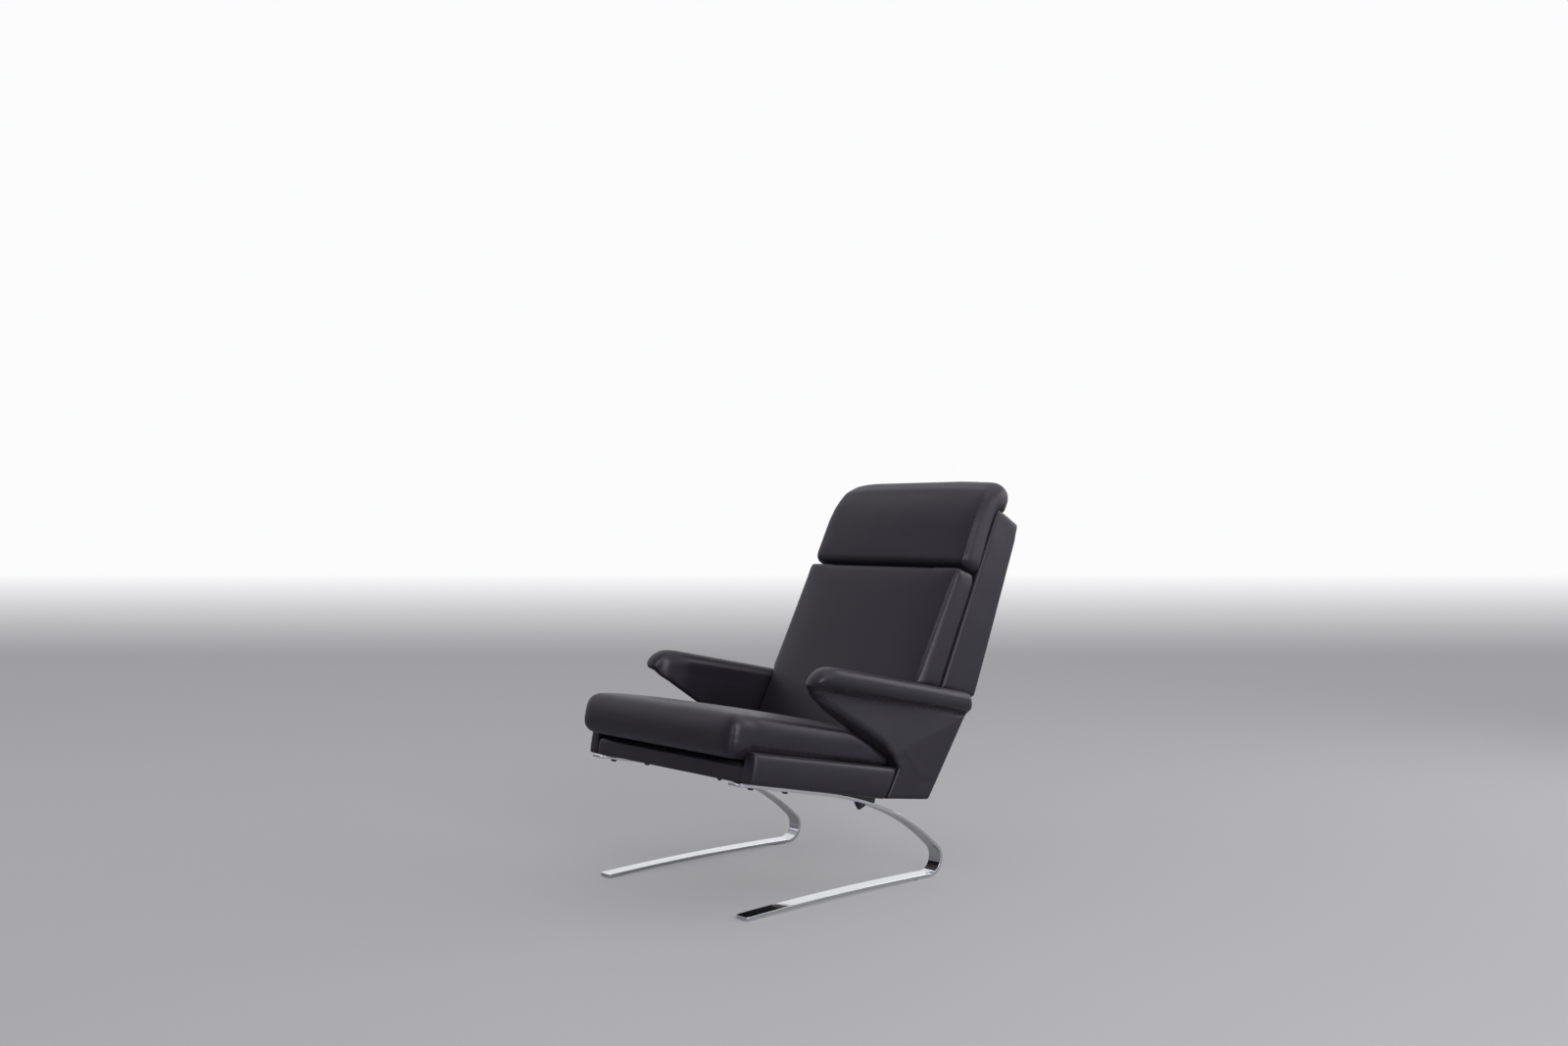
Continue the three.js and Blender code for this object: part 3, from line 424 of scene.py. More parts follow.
def fade(value, start, end):
    """1 before start, 0 after end, and smooth between."""
    t = min(max((value - start) / (end - start), 0), 1)
    return 1 - t * t * (3 - 2 * t)


def rise(value, start, end):
    """0 before start, 1 after end, and smooth between."""
    return 1 - fade(value, start, end)


def from_middle(place):
    """How far a place is from the chair's middle, to either side, in millimetres."""
    return abs(place.x) / MM


def with_normals(piece):
    """Each vertex with its normal, as it is before any of them moves."""
    piece.data.update()
    return [(vertex, vertex.normal.copy()) for vertex in piece.data.vertices]


def smooth_shade(piece):
    for face in piece.data.polygons:
        face.use_smooth = True


# %% [markdown]
# Each side has one flat steel bar. It starts as a straight under the seat rail, sweeps down
# behind the seat, turns round a tight heel and runs forward along the floor, so that it is the
# spring, the leg and the runner in one. A path and a section describe it fully, so it is made
# with Geometry Nodes: a rounded rectangle is swept along the path. At the heel the steel bends
# when somebody sits down.

# %% The path of a spring
BAR_CENTRE = 258
BAR_WIDTH = 39
BAR_THICK = 8
BAR_EDGE = 1.1
BAR_STRAIGHT = 266
STRAIGHT_STEPS = 20
# Each bend has a radius, and the angle below level at which the bar leaves it.
SWEEP = (1051, 24.6)
CURL = (596, 42.4)
HEEL = (38, 181.92)
FLOOR = (8883, 178.08)
BAR_STEP = 9
TURN_STEP = 3
TOE_ROUND = 7
TOE_STEPS = 8
LEG_HEIGHT = 20


def inward_of(angle):
    """The way to the inside of the C where the bar runs at this angle below level."""
    return Vector((0, -math.sin(math.radians(angle)), -math.cos(math.radians(angle))))


def bar_path():
    """Points along the middle of the bar, from its front tip to the toe on the floor."""
    step = BAR_STRAIGHT / STRAIGHT_STEPS
    points = [on_seat(0, step * i, -BAR_THICK / 2) for i in range(STRAIGHT_STEPS + 1)]
    heading = math.degrees(SEAT_TILT)
    for radius, end in (SWEEP, CURL, HEEL, FLOOR):
        turn = 1 if end > heading else -1
        length = radius * math.radians(abs(end - heading))
        steps = max(math.ceil(length / BAR_STEP), math.ceil(abs(end - heading) / TURN_STEP))
        centre = points[-1] + turn * radius * MM * inward_of(heading)
        for i in range(1, steps + 1):
            angle = heading + (end - heading) * i / steps
            points.append(centre - turn * radius * MM * inward_of(angle))
        heading = end
    return points


def with_fine_end(points, reach, steps):
    """Adds close points near the last one, so that the toe can be rounded."""
    end = points[-1]
    back = (points[-2] - end).normalized()
    kept = [p for p in points[:-1] if (p - end).length > reach * MM]
    fine = [end + back * reach * MM * math.cos(math.pi / 2 * i / steps) for i in range(steps)]
    return kept + fine + [end]


BAR_LINE = with_fine_end(bar_path(), TOE_ROUND, TOE_STEPS)
print("bar has", len(BAR_LINE), "points; toe at", [round(v, 4) for v in BAR_LINE[-1]])

# %% Geometry Nodes that sweep a section along a path


def sweep_tree(title, sizes, section_of, flat=False):
    """A tree that sweeps a section along a path. Its inputs are the sizes and the finish.

    A flat section is kept level across the chair."""
    tree = bpy.data.node_groups.new(title, "GeometryNodeTree")
    sockets = tree.interface
    sockets.new_socket("Geometry", in_out="INPUT", socket_type="NodeSocketGeometry")
    for label in sizes:
        sockets.new_socket(label, in_out="INPUT", socket_type="NodeSocketFloat")
    sockets.new_socket("Finish", in_out="INPUT", socket_type="NodeSocketMaterial")
    sockets.new_socket("Geometry", in_out="OUTPUT", socket_type="NodeSocketGeometry")
    given = tree.nodes.new("NodeGroupInput").outputs
    path = add_node(tree, "GeometryNodeMeshToCurve", {"Mesh": given["Geometry"]}).outputs["Curve"]
    if flat:
        path = add_node(
            tree, "GeometryNodeSetCurveNormal", {"Curve": path, "Normal": ACROSS}, mode="FREE"
        ).outputs["Curve"]
    swept = add_node(
        tree, "GeometryNodeCurveToMesh",
        {"Curve": path, "Profile Curve": section_of(tree, given), "Fill Caps": True},
    )
    smooth = add_node(tree, "GeometryNodeSetShadeSmooth", {"Geometry": swept.outputs["Mesh"]})
    real = add_node(tree, "GeometryNodeRealizeInstances", {"Geometry": smooth.outputs["Geometry"]})
    painted = add_node(
        tree, "GeometryNodeSetMaterial",
        {"Geometry": real.outputs["Geometry"], "Material": given["Finish"]},
    )
    result = tree.nodes.new("NodeGroupOutput")
    tree.links.new(painted.outputs["Geometry"], result.inputs["Geometry"])
    return tree


def flat_section(tree, given):
    """A rectangle with rounded corners, for the bars."""
    section = add_node(
        tree, "GeometryNodeCurvePrimitiveQuadrilateral",
        {"Width": given["Width"], "Height": given["Thickness"]},
    )
    return add_node(
        tree, "GeometryNodeFilletCurve",
        {"Curve": section.outputs["Curve"], "Radius": given["Edge radius"], "Count": 3},
        mode="POLY",
    ).outputs["Curve"]


def round_section(tree, given):
    """A small circle, for the cord of painted seam shadow."""
    return add_node(
        tree, "GeometryNodeCurvePrimitiveCircle", {"Resolution": 6, "Radius": given["Radius"]}
    ).outputs["Curve"]


BAR_TREE = sweep_tree(
    "sweep a flat bar", ("Width", "Thickness", "Edge radius"), flat_section, flat=True
)
# The round cord paints the shadow line that lies in every seam.
SEAM_SHADOW_TREE = sweep_tree("sweep a thread", ("Radius",), round_section)


def run_tree(piece, tree, values):
    """Puts the tree on the piece with its inputs filled by name, and makes the result plain."""
    modifier = piece.modifiers.new(tree.name, "NODES")
    modifier.node_group = tree
    for item in tree.interface.items_tree:
        if item.in_out == "INPUT" and item.name in values:
            modifier[item.identifier] = values[item.name]
    return make_plain(piece)


def paths_mesh(name, paths):
    """A mesh of loose edges that follow each path."""
    corners, edges = [], []
    for path in paths:
        edges += [(len(corners) + i, len(corners) + i + 1) for i in range(len(path) - 1)]
        corners += path
    mesh = bpy.data.meshes.new(name)
    mesh.from_pydata(corners, edges, [])
    return mesh


# %% The two springs


def round_toe(piece, centre):
    """Rounds the two corners at the end of the floor leg, seen from above."""
    end = BAR_LINE[-1]
    forward = (BAR_LINE[-1] - BAR_LINE[-2]).normalized()
    radius = TOE_ROUND * MM
    for vertex in piece.data.vertices:
        past = (vertex.co - end).dot(forward) + radius
        if vertex.co.y < 0 and vertex.co.z < LEG_HEIGHT * MM and past > 0:
            drawn = radius - math.sqrt(max(radius ** 2 - past ** 2, 0))
            side = vertex.co.x - centre
            half = BAR_WIDTH * MM / 2
            vertex.co.x = centre + side * (half - drawn) / half


def spring(name, side):
    """One bar in one piece, with smooth shading that keeps its flats flat."""
    centre = side * BAR_CENTRE * MM
    line = [p + centre * ACROSS for p in BAR_LINE]
    piece = new_piece(name, paths_mesh(name, [line]), FINISHES["chrome"])
    run_tree(
        piece, BAR_TREE,
        {"Width": BAR_WIDTH * MM, "Thickness": BAR_THICK * MM, "Edge radius": BAR_EDGE * MM,
         "Finish": FINISHES["chrome"]},
    )
    round_toe(piece, centre)
    return modify(piece, "WEIGHTED_NORMAL", keep_sharp=False)


for side, label in zip(SIDES, ("left", "right")):
    bar = spring(f"spring_bar_{label}", side)
    print(bar.name, triangles(bar), "triangles")
    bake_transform(bar)
    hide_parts(f"runner_{label}", f"spring_arm_{label}")

# %% [markdown]
# A cushion is foam in a sewn leather cover. The front panel wraps round the foam from
# bottom to top, and a side panel is sewn in at each end, so every cushion has two seams that
# follow its side outline. To make it, the frame's plain shape is cut into small faces and
# plumped a little, its seams are held, and a cloth simulation blows it up. The leather then
# swells between the seams as foam makes it do.

# %% Seams as paths


def path_on(ruler, side, stops):
    """A path through stops that are measured on one of the two slanted rulers."""
    return [ruler(side * across, first, second) for across, first, second in stops]


def walk(points, step):
    """Points at an even step along a chain of corners."""
    path = [points[0]]
    for first, second in zip(points, points[1:]):
        count = max(1, round((second - first).length / (step * MM)))
        path += [first.lerp(second, i / count) for i in range(1, count + 1)]
    return path


def settle(path, piece):
    """Lays a path on the nearest part of a piece's surface."""
    tree = BVHTree.FromObject(piece, bpy.context.evaluated_depsgraph_get())
    return [tree.find_nearest(p)[0] for p in path]


def ease(path, times):
    """Takes the kinks out of a path."""
    for _ in range(times):
        inner = [(a + b + c) / 3 for a, b, c in zip(path, path[1:], path[2:])]
        path = [path[0]] + inner + [path[-1]]
    return path


def path_finder(paths):
    """Something that tells how far a place is from the nearest of some paths."""
    points = [p for path in paths for p in path]
    finder = KDTree(len(points))
    for index, point in enumerate(points):
        finder.insert(point, index)
    finder.balance()
    return finder


# %% Blowing up a cushion
SIM_FRAMES = 20
PRESSURE = 4
SEAM_HOLD = 0.9
SEAM_REACH = (3, 16)


def hold_points(piece, seams, rests):
    """Marks what the simulation holds: the seams, and where the cushion rests on something."""
    finder = path_finder(seams)

    def held(vertex):
        distance = finder.find(vertex.co)[2] / MM
        return max(SEAM_HOLD * fade(distance, *SEAM_REACH), rests(vertex.co))

    return mark(piece, "held", held)


def blow_up(piece, seams, rests, cap):
    """Inflates the piece with Cloth, and lets no point move further than the cap."""
    start = [v.co.copy() for v in piece.data.vertices]
    held = hold_points(piece, seams, rests)
    cloth = piece.modifiers.new("cloth", "CLOTH")
    settings = cloth.settings
    settings.quality = 6
    settings.use_pressure = True
    settings.uniform_pressure_force = PRESSURE
    settings.effector_weights.gravity = 0
    settings.vertex_group_mass = held
    settings.tension_stiffness = 22
    settings.compression_stiffness = 22
    settings.shear_stiffness = 10
    settings.bending_stiffness = 10
    settings.shrink_min = 0
    cloth.point_cache.frame_start = 1
    cloth.point_cache.frame_end = SIM_FRAMES
    for step in range(1, SIM_FRAMES + 1):
        bpy.context.scene.frame_set(step)
    make_plain(piece)
    bpy.context.scene.frame_set(1)
    furthest = 0
    for vertex, home in zip(piece.data.vertices, start):
        move = vertex.co - home
        furthest = max(furthest, move.length / MM)
        if move.length > 0:
            limited = cap * MM * math.tanh(move.length / (cap * MM))
            vertex.co = home + move.normalized() * limited
    print(piece.name, "moved up to", round(furthest, 1), "mm, kept under", cap)


# %% [markdown]
# Where two pieces of leather are sewn together, the seam sinks into the foam and gathers
# the leather into faint puckers. Both are pressed into the finished cushion, because no
# simulation on faces this large can make them. A thin black cord then lies in the groove as
# painted shade: it stands for the seam's dark shadow line.

# %% Pressing in the seams
GROOVE_DEPTH = 1.1
GROOVE_WIDTH = 3.2
GROOVE_END = 40
PUCKER_HEIGHT = 0.16
PUCKER_SPACING = 17
PUCKER_START = 4
PUCKER_FULL = 2
PUCKER_REACH = 26
PUCKER_DRIFT = 2.5
DRIFT_SCALE = 25
# Radius of the black cord that paints the seam's shadow line.
SEAM_SHADOW_RADIUS = 0.35


def press_seams(piece, seams):
    """Sinks a groove along the seams and gathers the leather beside them."""
    finder = path_finder(seams)
    along, ends = [], []
    for path in seams:
        run = 0
        for index, point in enumerate(path):
            run += (point - path[index - 1]).length / MM if index else 0
            along.append(run)
        ends += [rise(min(place, run - place), 0, GROOVE_END) for place in along[len(ends):]]
    for vertex, normal in with_normals(piece):
        _, index, distance = finder.find(vertex.co)
        distance /= MM
        if distance < PUCKER_REACH:
            groove = GROOVE_DEPTH * ends[index] * math.exp(-((distance / GROOVE_WIDTH) ** 2))
            phase = noise.noise(vertex.co * DRIFT_SCALE) * PUCKER_DRIFT
            wave = math.sin(2 * math.pi * along[index] / PUCKER_SPACING + phase)
            gather = ends[index] * PUCKER_HEIGHT * wave * fade(distance, PUCKER_FULL, PUCKER_REACH)
            gather *= min(distance / PUCKER_START, 1)
            vertex.co -= normal * (groove - gather) * MM


def seam_shadow_line(name, seams):
    """Painted shade for the seam's dark shadow line: a thin black cord laid in the groove."""
    piece = new_piece(name, paths_mesh(name, seams), SEAM_SHADOW_FINISH)
    return run_tree(piece, SEAM_SHADOW_TREE, {"Radius": SEAM_SHADOW_RADIUS * MM, "Finish": SEAM_SHADOW_FINISH})


# %% Making a cushion
BROAD_PANEL = (0.9, 0.97)
CALMING = 60
SOFTENING = 9
SEAM_STEP = 4


def calm(piece, facing):
    """Evens out the broad panel that faces one way, and leaves the edges as they are."""
    relax_where(piece, CALMING, lambda vertex: rise(vertex.normal.dot(facing), *BROAD_PANEL))


def cushion(
    name, node, size, seams, edges, rests, facing, fillers=(), shape=None, cap=6, plumped=1
):
    """A sewn cushion in place of the frame's plain one. Seams are pressed in, edges only held."""
    piece = solid_copy(name, [node], FINISHES["black_leather"], fillers)
    even_faces(piece, size)
    plump(piece, plumped)
    relax(piece, 3)
    if shape:
        shape(piece)
        even_faces(piece, size)
        relax(piece, 2)
    calm(piece, facing)
    paths = [ease(settle(walk(seam, SEAM_STEP), piece), 4) for seam in seams]
    held = [settle(walk(edge, SEAM_STEP), piece) for edge in edges]
    blow_up(piece, paths + held, rests, cap)
    relax(piece, SOFTENING)
    modify(piece, "SUBSURF", levels=1, render_levels=1)
    relax(piece, 1)
    paths = [ease(settle(path, piece), 2) for path in paths]
    press_seams(piece, paths)
    smooth_shade(piece)
    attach(piece, "seat_unit")
    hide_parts(node)
    # A black cord in the groove paints the seam's shadow line.
    shadow_cord = seam_shadow_line(f"{name}_seam", [settle(path, piece) for path in paths])
    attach(shadow_cord, "seat_unit")
    print(name, triangles(piece), "triangles")


# %% [markdown]
# The seat cushion lies on the webbing and laps over the front of the frame. Behind the
# front corners it narrows to pass between the arm panels. Its bottom rests, so it is held flat.

# %% Seat cushion
SEAT_SEAM = ((287, -36, 145), (287, -50, 127), (287, -50, 52), (287, -4, 52))
SEAT_SEAM += ((287, 6, 78), (287, 420, 78))
SEAT_FRONT_EDGE = ((-287, -50, 52), (287, -50, 52))
SEAT_TOP_EDGE = ((272, -26, 152), (272, 60, 160), (272, 330, 158))
SIDE_SWELL = ((20, 76), (450, 79), (440, 98), (316, 146), (20, 148))
SWELL_SIDES = (235, 286.2)
SIDE_FOOT = 78
SIDE_TOP = 161
SIDE_LEAN = 12
LEAN_GROWTH = 2.2
SIDE_BULGE = 3
SIDE_ZONE = (225, 280)
SIDE_FRONT = (-46, 0)
SIDE_REAR = (330, 430)
ON_FRAME = (58, 74)
ARM_FRONT_SLOPE = 2.2
BEHIND_ARM_FRONT = (560, 620)
BETWEEN_ARMS = (225, 245)


def along_and_up(place):
    """A place's measures on the seat's ruler."""
    offset = (place - SEAT_FRONT) / MM
    return offset.dot(SEAT_ALONG), offset.dot(SEAT_UP)


def round_sides(piece):
    """Swells the cushion's two long sides between the rail and the top."""
    for vertex in piece.data.vertices:
        along, up = along_and_up(vertex.co)
        share = min(max((up - SIDE_FOOT) / (SIDE_TOP - SIDE_FOOT), 0), 1)
        outer = rise(from_middle(vertex.co), *SIDE_ZONE)
        ends = fade(along, *SIDE_REAR) * rise(along, *SIDE_FRONT)
        lean = SIDE_LEAN * (share ** LEAN_GROWTH) - SIDE_BULGE * math.sin(math.pi * share)
        vertex.co.x -= math.copysign(lean * outer * ends * MM, vertex.co.x)


def block(ruler, side, outline, across):
    """The corners of a block: an outline on one of the rulers, taken at some distances across."""
    return [ruler(side * x, first, second) for first, second in outline for x in across]


def seat_rests(place):
    """1 where the seat cushion lies on the frame or is squeezed between the arms."""
    along, up = along_and_up(place)
    beside_arm = rise(along + ARM_FRONT_SLOPE * up, *BEHIND_ARM_FRONT)
    return max(fade(up, *ON_FRAME), beside_arm * rise(from_middle(place), *BETWEEN_ARMS))


cushion(
    "seat_leather", "seat_cushion", size=6.5,
    seams=[path_on(on_seat, side, SEAT_SEAM) for side in SIDES],
    edges=[path_on(on_seat, 1, SEAT_FRONT_EDGE)]
    + [path_on(on_seat, side, SEAT_TOP_EDGE) for side in SIDES],
    rests=seat_rests, facing=SEAT_UP,
    fillers=[block(on_seat, side, SIDE_SWELL, SWELL_SIDES) for side in SIDES],
    shape=round_sides, cap=3.5, plumped=2,
)

# %% [markdown]
# The back pad stands on the seat and leans on the shell. Its foot narrows between the arms.

# %% Back pad
PAD_SEAM = ((255, -93, -190), (255, -93, -40), (275, -93, 0), (275, -74, 291), (275, -8, 291))
PAD_TOP_EDGE = ((-275, -74, 291), (275, -74, 291))
PAD_SHOULDER = ((-68, 262), (-68, 288), (-8, 296), (-8, 262))
SHOULDER_SIDES = (190, 273)
AGAINST_SHELL = (-34, -16)
BELOW_ARM_TOPS = (-20, 10)


def depth_and_height(place):
    """A place's measures on the back's ruler."""
    offset = (place - BACK_FOOT) / MM
    return offset.dot(BACK_DEPTH), offset.dot(BACK_HEIGHT)


def pad_rests(place):
    """1 where the pad leans on the shell or is squeezed between the arms."""
    depth, height = depth_and_height(place)
    between_arms = fade(height, *BELOW_ARM_TOPS) * rise(from_middle(place), *BETWEEN_ARMS)
    return max(rise(depth, *AGAINST_SHELL), between_arms)


cushion(
    "back_leather", "back_pad", size=6.3,
    seams=[path_on(on_back, side, PAD_SEAM) for side in SIDES],
    edges=[path_on(on_back, 1, PAD_TOP_EDGE)],
    rests=pad_rests, facing=-BACK_DEPTH,
    fillers=[block(on_back, side, PAD_SHOULDER, SHOULDER_SIDES) for side in SIDES],
)

# %% [markdown]
# The headrest is a thick bolster that hooks over the top of the shell.

# %% Headrest
HEAD_HALF = 277
HEAD_SEAM = ((-6, 301), (-64, 301), (-64, 430), (-49, 492), (-38, 535))
HEAD_LOW_EDGE = ((-277, -64, 301), (277, -64, 301))
HEAD_END = 265
HEAD_CROWN = ((-62, 452), (-52, 488), (-40, 520), (-16, 552), (0, 562), (16, 562), (33, 550))
HEAD_CROWN += ((41, 532), (41, 512), (37, 498))
CROWN_SIDES = (-266, 258)
ARCHED_SIDES = (-190, 130)
CROWN_ARCH = 6
HEAD_CORNERS = (515, 555)
HEAD_CORNER_SIDES = (225, 262)
HEAD_CORNER_ROUNDING = 60
ON_SHELL = (-30, -14)
SHELL_TOP = (484, 496)
CROWN_HELD = (490, 530)


def round_top_corners(piece):
    """Rounds the headrest where its top meets its two ends."""

    def corner(vertex):
        _, height = depth_and_height(vertex.co)
        return rise(height, *HEAD_CORNERS) * rise(from_middle(vertex.co), *HEAD_CORNER_SIDES)

    relax_where(piece, HEAD_CORNER_ROUNDING, corner)


def crown():
    """The headrest's top, which is a little higher in its middle than at its ends."""
    arched = [(depth, height + CROWN_ARCH) for depth, height in HEAD_CROWN[2:7]]
    return block(on_back, 1, HEAD_CROWN, CROWN_SIDES) + block(on_back, 1, arched, ARCHED_SIDES)


def head_rests(place):
    """1 where the headrest lies on the shell, and on its crown, which keeps its shape."""
    depth, height = depth_and_height(place)
    return max(rise(depth, *ON_SHELL) * fade(height, *SHELL_TOP), rise(height, *CROWN_HELD))


cushion(
    "headrest_leather", "headrest_cushion", size=5.5,
    seams=[block(on_back, side, HEAD_SEAM, (HEAD_HALF,)) for side in SIDES],
    edges=[path_on(on_back, 1, HEAD_LOW_EDGE)]
    + [block(on_back, side, HEAD_CROWN[2:9], (HEAD_END,)) for side in SIDES],
    rests=head_rests, facing=-BACK_DEPTH, fillers=[crown()],
    shape=round_top_corners, cap=4, plumped=2,
)

# %% [markdown]
# The rest of the leather is pulled over thin foam on boards: side rails, arm panels,
# front apron, shell and rear panel. A skin is made from the frame's solid: small even faces,
# softened edges, and slow waves that tight leather always has. Creases are drawn on where
# the photograph shows them.

# %% Helpers for pulled leather
RIPPLE_LENGTH = 70
CREASE_REACH = 3


def ripple(piece, height):
    """Slow, shallow waves all over the skin."""
    for vertex, normal in with_normals(piece):
        wave = noise.noise(vertex.co / (RIPPLE_LENGTH * MM))
        vertex.co += normal * wave * height * MM


def crease(piece, first, last, width, height):
    """A fold from one place to another: a valley where height is below zero, else a ridge."""
    run = last - first
    for vertex, normal in with_normals(piece):
        share = (vertex.co - first).dot(run) / run.length_squared
        nearest = first + run * min(max(share, 0), 1)
        distance = (vertex.co - nearest).length / MM
        if distance < width * CREASE_REACH:
            ends = math.sin(math.pi * min(max(share, 0.02), 0.98))
            vertex.co += normal * height * MM * ends * math.exp(-((distance / width) ** 2))


def skin(
    name, nodes, size, soft, wave=0.5, creases=(), fillers=(), before=None, after=None, hidden=()
):
    """Leather pulled over one or more of the frame's solids.

    Before and after reshape the solids, and the skin once it has its even faces. Hidden solids
    are wholly inside the leather."""
    piece = solid_copy(name, nodes, FINISHES["black_leather"], fillers, before)
    even_faces(piece, size)
    if after:
        after(piece)
    relax(piece, soft)
    ripple(piece, wave)
    for first, last, width, height in creases:
        crease(piece, first, last, width, height)
    smooth_shade(piece)
    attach(piece, "seat_unit")
    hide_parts(*nodes, *hidden)
    print(name, triangles(piece), "triangles")


# %% [markdown]
# One hide covers each arm: it wraps the roll, turns round its nose and runs down the slanted
# front to the seat, so roll and panels are closed into one shape. Fillers add what the plain
# solids lack: the round, turned-down nose, and a flush inner side that slopes up to the
# roll. The creases are where the hide turns in under the roll and is pulled round below.

# %% Arms
NOSE_CENTRE = (190, 243, 285)
NOSE_SHARES = (-0.85, -0.5, 0, 0.35, 0.65, 0.85, 0.96)
NOSE_TURN_STEP = 15
NOSE_TOP_TURN = 90
NOSE_FRONT_TURN = 180
NOSE_UNDER_TURN = 285
NOSE_TILT = 7
NOSE_RADIUS = 37
NOSE_FULLNESS = 0.14
NOSE_ROUNDING = 0.3
NOSE_INNER_HALF = 24
NOSE_OUTER_HALF = 43
NOSE_PANEL = 296
NOSE_OUTERMOST = 330
NOSE_REAR = 245
NOSE_DROP = 4
NOSE_REACH = (140, 200)
NOSE_INNER_DROP = 0.25
NOSE_DROP_SIDES = (280, 312)
ROLL_MIDDLE = (298.5, 256.5)
ROLL_HALVES = (31.4, 26.5)
ROLL_SQUARENESS = 0.8
ROLL_TURN_STEP = 20
ROLL_HEIGHTS = (227, 284)
ROLL_LIFT = 4
ROLL_LIFTED = (250, 274)
ROLL_BELLY = 254
ROLL_BELLY_SHARE = 0.75
ARM_SIDE = 312
FLUSH_SIDE = ((190, 204), (172, 225), (176, 258), (640, 260), (640, 150), (430, 112))
FLUSH_SIDES = (257.5, 285)
FLUSH_RIDGE = ((192, 274), (610, 281))
FLUSH_RIDGE_SIDE = (278,)


def nose_ring(side, last_turn, outermost):
    """Corners of the arm's rounded end, from its top round the front to the last turn."""
    along, up, across = NOSE_CENTRE
    corners = []
    for share in NOSE_SHARES:
        half = NOSE_INNER_HALF if share < 0 else NOSE_OUTER_HALF
        round_share = math.sqrt(1 - share ** 2)
        place = side * min(across + share * half, outermost)
        height_share = 1 - NOSE_ROUNDING + NOSE_ROUNDING * round_share
        for turn in range(NOSE_TOP_TURN, last_turn + 1, NOSE_TURN_STEP):
            radius = NOSE_RADIUS * (1 + NOSE_FULLNESS * max(math.sin(math.radians(2 * turn)), 0))
            forward = radius * round_share * math.cos(math.radians(turn))
            upward = radius * height_share * math.sin(math.radians(turn))
            corners.append(on_seat(place, along + forward, up + NOSE_TILT * share + upward))
    return corners


def roll_section(side):
    """Corners of the roll's own section behind the nose."""
    across, up = ROLL_MIDDLE
    wide, high = ROLL_HALVES
    corners = []
    for turn in range(0, 360, ROLL_TURN_STEP):
        sideways, upward = math.cos(math.radians(turn)), math.sin(math.radians(turn))
        sideways = math.copysign(abs(sideways) ** ROLL_SQUARENESS, sideways)
        upward = math.copysign(abs(upward) ** ROLL_SQUARENESS, upward)
        corners.append(on_seat(side * (across + wide * sideways), NOSE_REAR, up + high * upward))
    return corners


def nose_blocks(side):
    """The turned-down end above the panels, and the wider end of the roll above it."""
    under = nose_ring(side, NOSE_UNDER_TURN, NOSE_PANEL)
    return [under, nose_ring(side, NOSE_FRONT_TURN, NOSE_OUTERMOST) + roll_section(side)]


def flush_block(side):
    """The arm's flush inner side, which slopes up to meet the roll near its top."""
    ridge = block(on_seat, side, FLUSH_RIDGE, FLUSH_RIDGE_SIDE)
    return block(on_seat, side, FLUSH_SIDE, FLUSH_SIDES) + ridge


def roll_shape(place):
    """Lowers the roll's nose, and lifts its belly so that the roll overhangs the panel."""
    along, up = along_and_up(place)
    if up < ROLL_HEIGHTS[0] or up > ROLL_HEIGHTS[1]:
        return place
    outside = from_middle(place) > ARM_SIDE
    belly = max(ROLL_BELLY - up, 0) * (1 - ROLL_BELLY_SHARE) if outside else 0
    share = NOSE_INNER_DROP + (1 - NOSE_INNER_DROP) * fade(from_middle(place), *NOSE_DROP_SIDES)
    drop = NOSE_DROP * fade(along, *NOSE_REACH) * share
    lift = ROLL_LIFT * rise(up, *ROLL_LIFTED)
    return place + SEAT_UP * (belly - drop + lift) * MM


# %% The slanted front of the arms
SLOPE_START = (172, 208)
SLOPE_END = (440, 101)
SLOPE_SET_BACK = 15
SLOPE_SIDES = (260, 310)
SLOPE_DEPTH = 80
SLOPE_HEIGHTS = (212, 234)
SLOPE_BEGINNING = (-25, 15)
SLOPE_ENDING = (-60, 10)
NARROWING = 11
NARROWED_ALONG = (160, 245)
NARROWED_SIDES = (258, 285)
RAIL_SEAM_FOOT = 425
RAIL_SEAM_LEAN = 0.36
TUCK = 4
TUCK_BEHIND = (2, 18)
TUCK_HEIGHTS = (78, 96)
TUCK_SIDES = (296, 304)
NOSE_SOFTENED = (185, 250)
NOSE_SOFTENING = 45


def set_back(along, up, across):
    """How far the slanted front leans back at a place, along the seat and up from it."""
    run = Vector(SLOPE_END) - Vector(SLOPE_START)
    length = run.length
    run.normalize()
    inside = Vector((-run.y, run.x))
    offset = Vector((along - SLOPE_START[0], up - SLOPE_START[1]))
    behind, travelled = offset.dot(inside), offset.dot(run)
    side_share = rise(across, *SLOPE_SIDES)
    share = rise(travelled, *SLOPE_BEGINNING)
    share *= fade(travelled, length + SLOPE_ENDING[0], length + SLOPE_ENDING[1])
    share *= side_share * fade(up, *SLOPE_HEIGHTS) * fade(behind, 0, SLOPE_DEPTH)
    return inside * SLOPE_SET_BACK * share * MM


def sideways(along, up, across):
    """How far the arm's inner side narrows at the nose, less the tuck beside the rail."""
    narrowed = NARROWING * fade(along, *NARROWED_ALONG) * fade(across, *NARROWED_SIDES)
    behind_rail = along - RAIL_SEAM_FOOT - RAIL_SEAM_LEAN * up
    tucked = TUCK * fade(behind_rail, *TUCK_BEHIND) * fade(up, *TUCK_HEIGHTS)
    return narrowed - tucked * rise(across, *TUCK_SIDES)


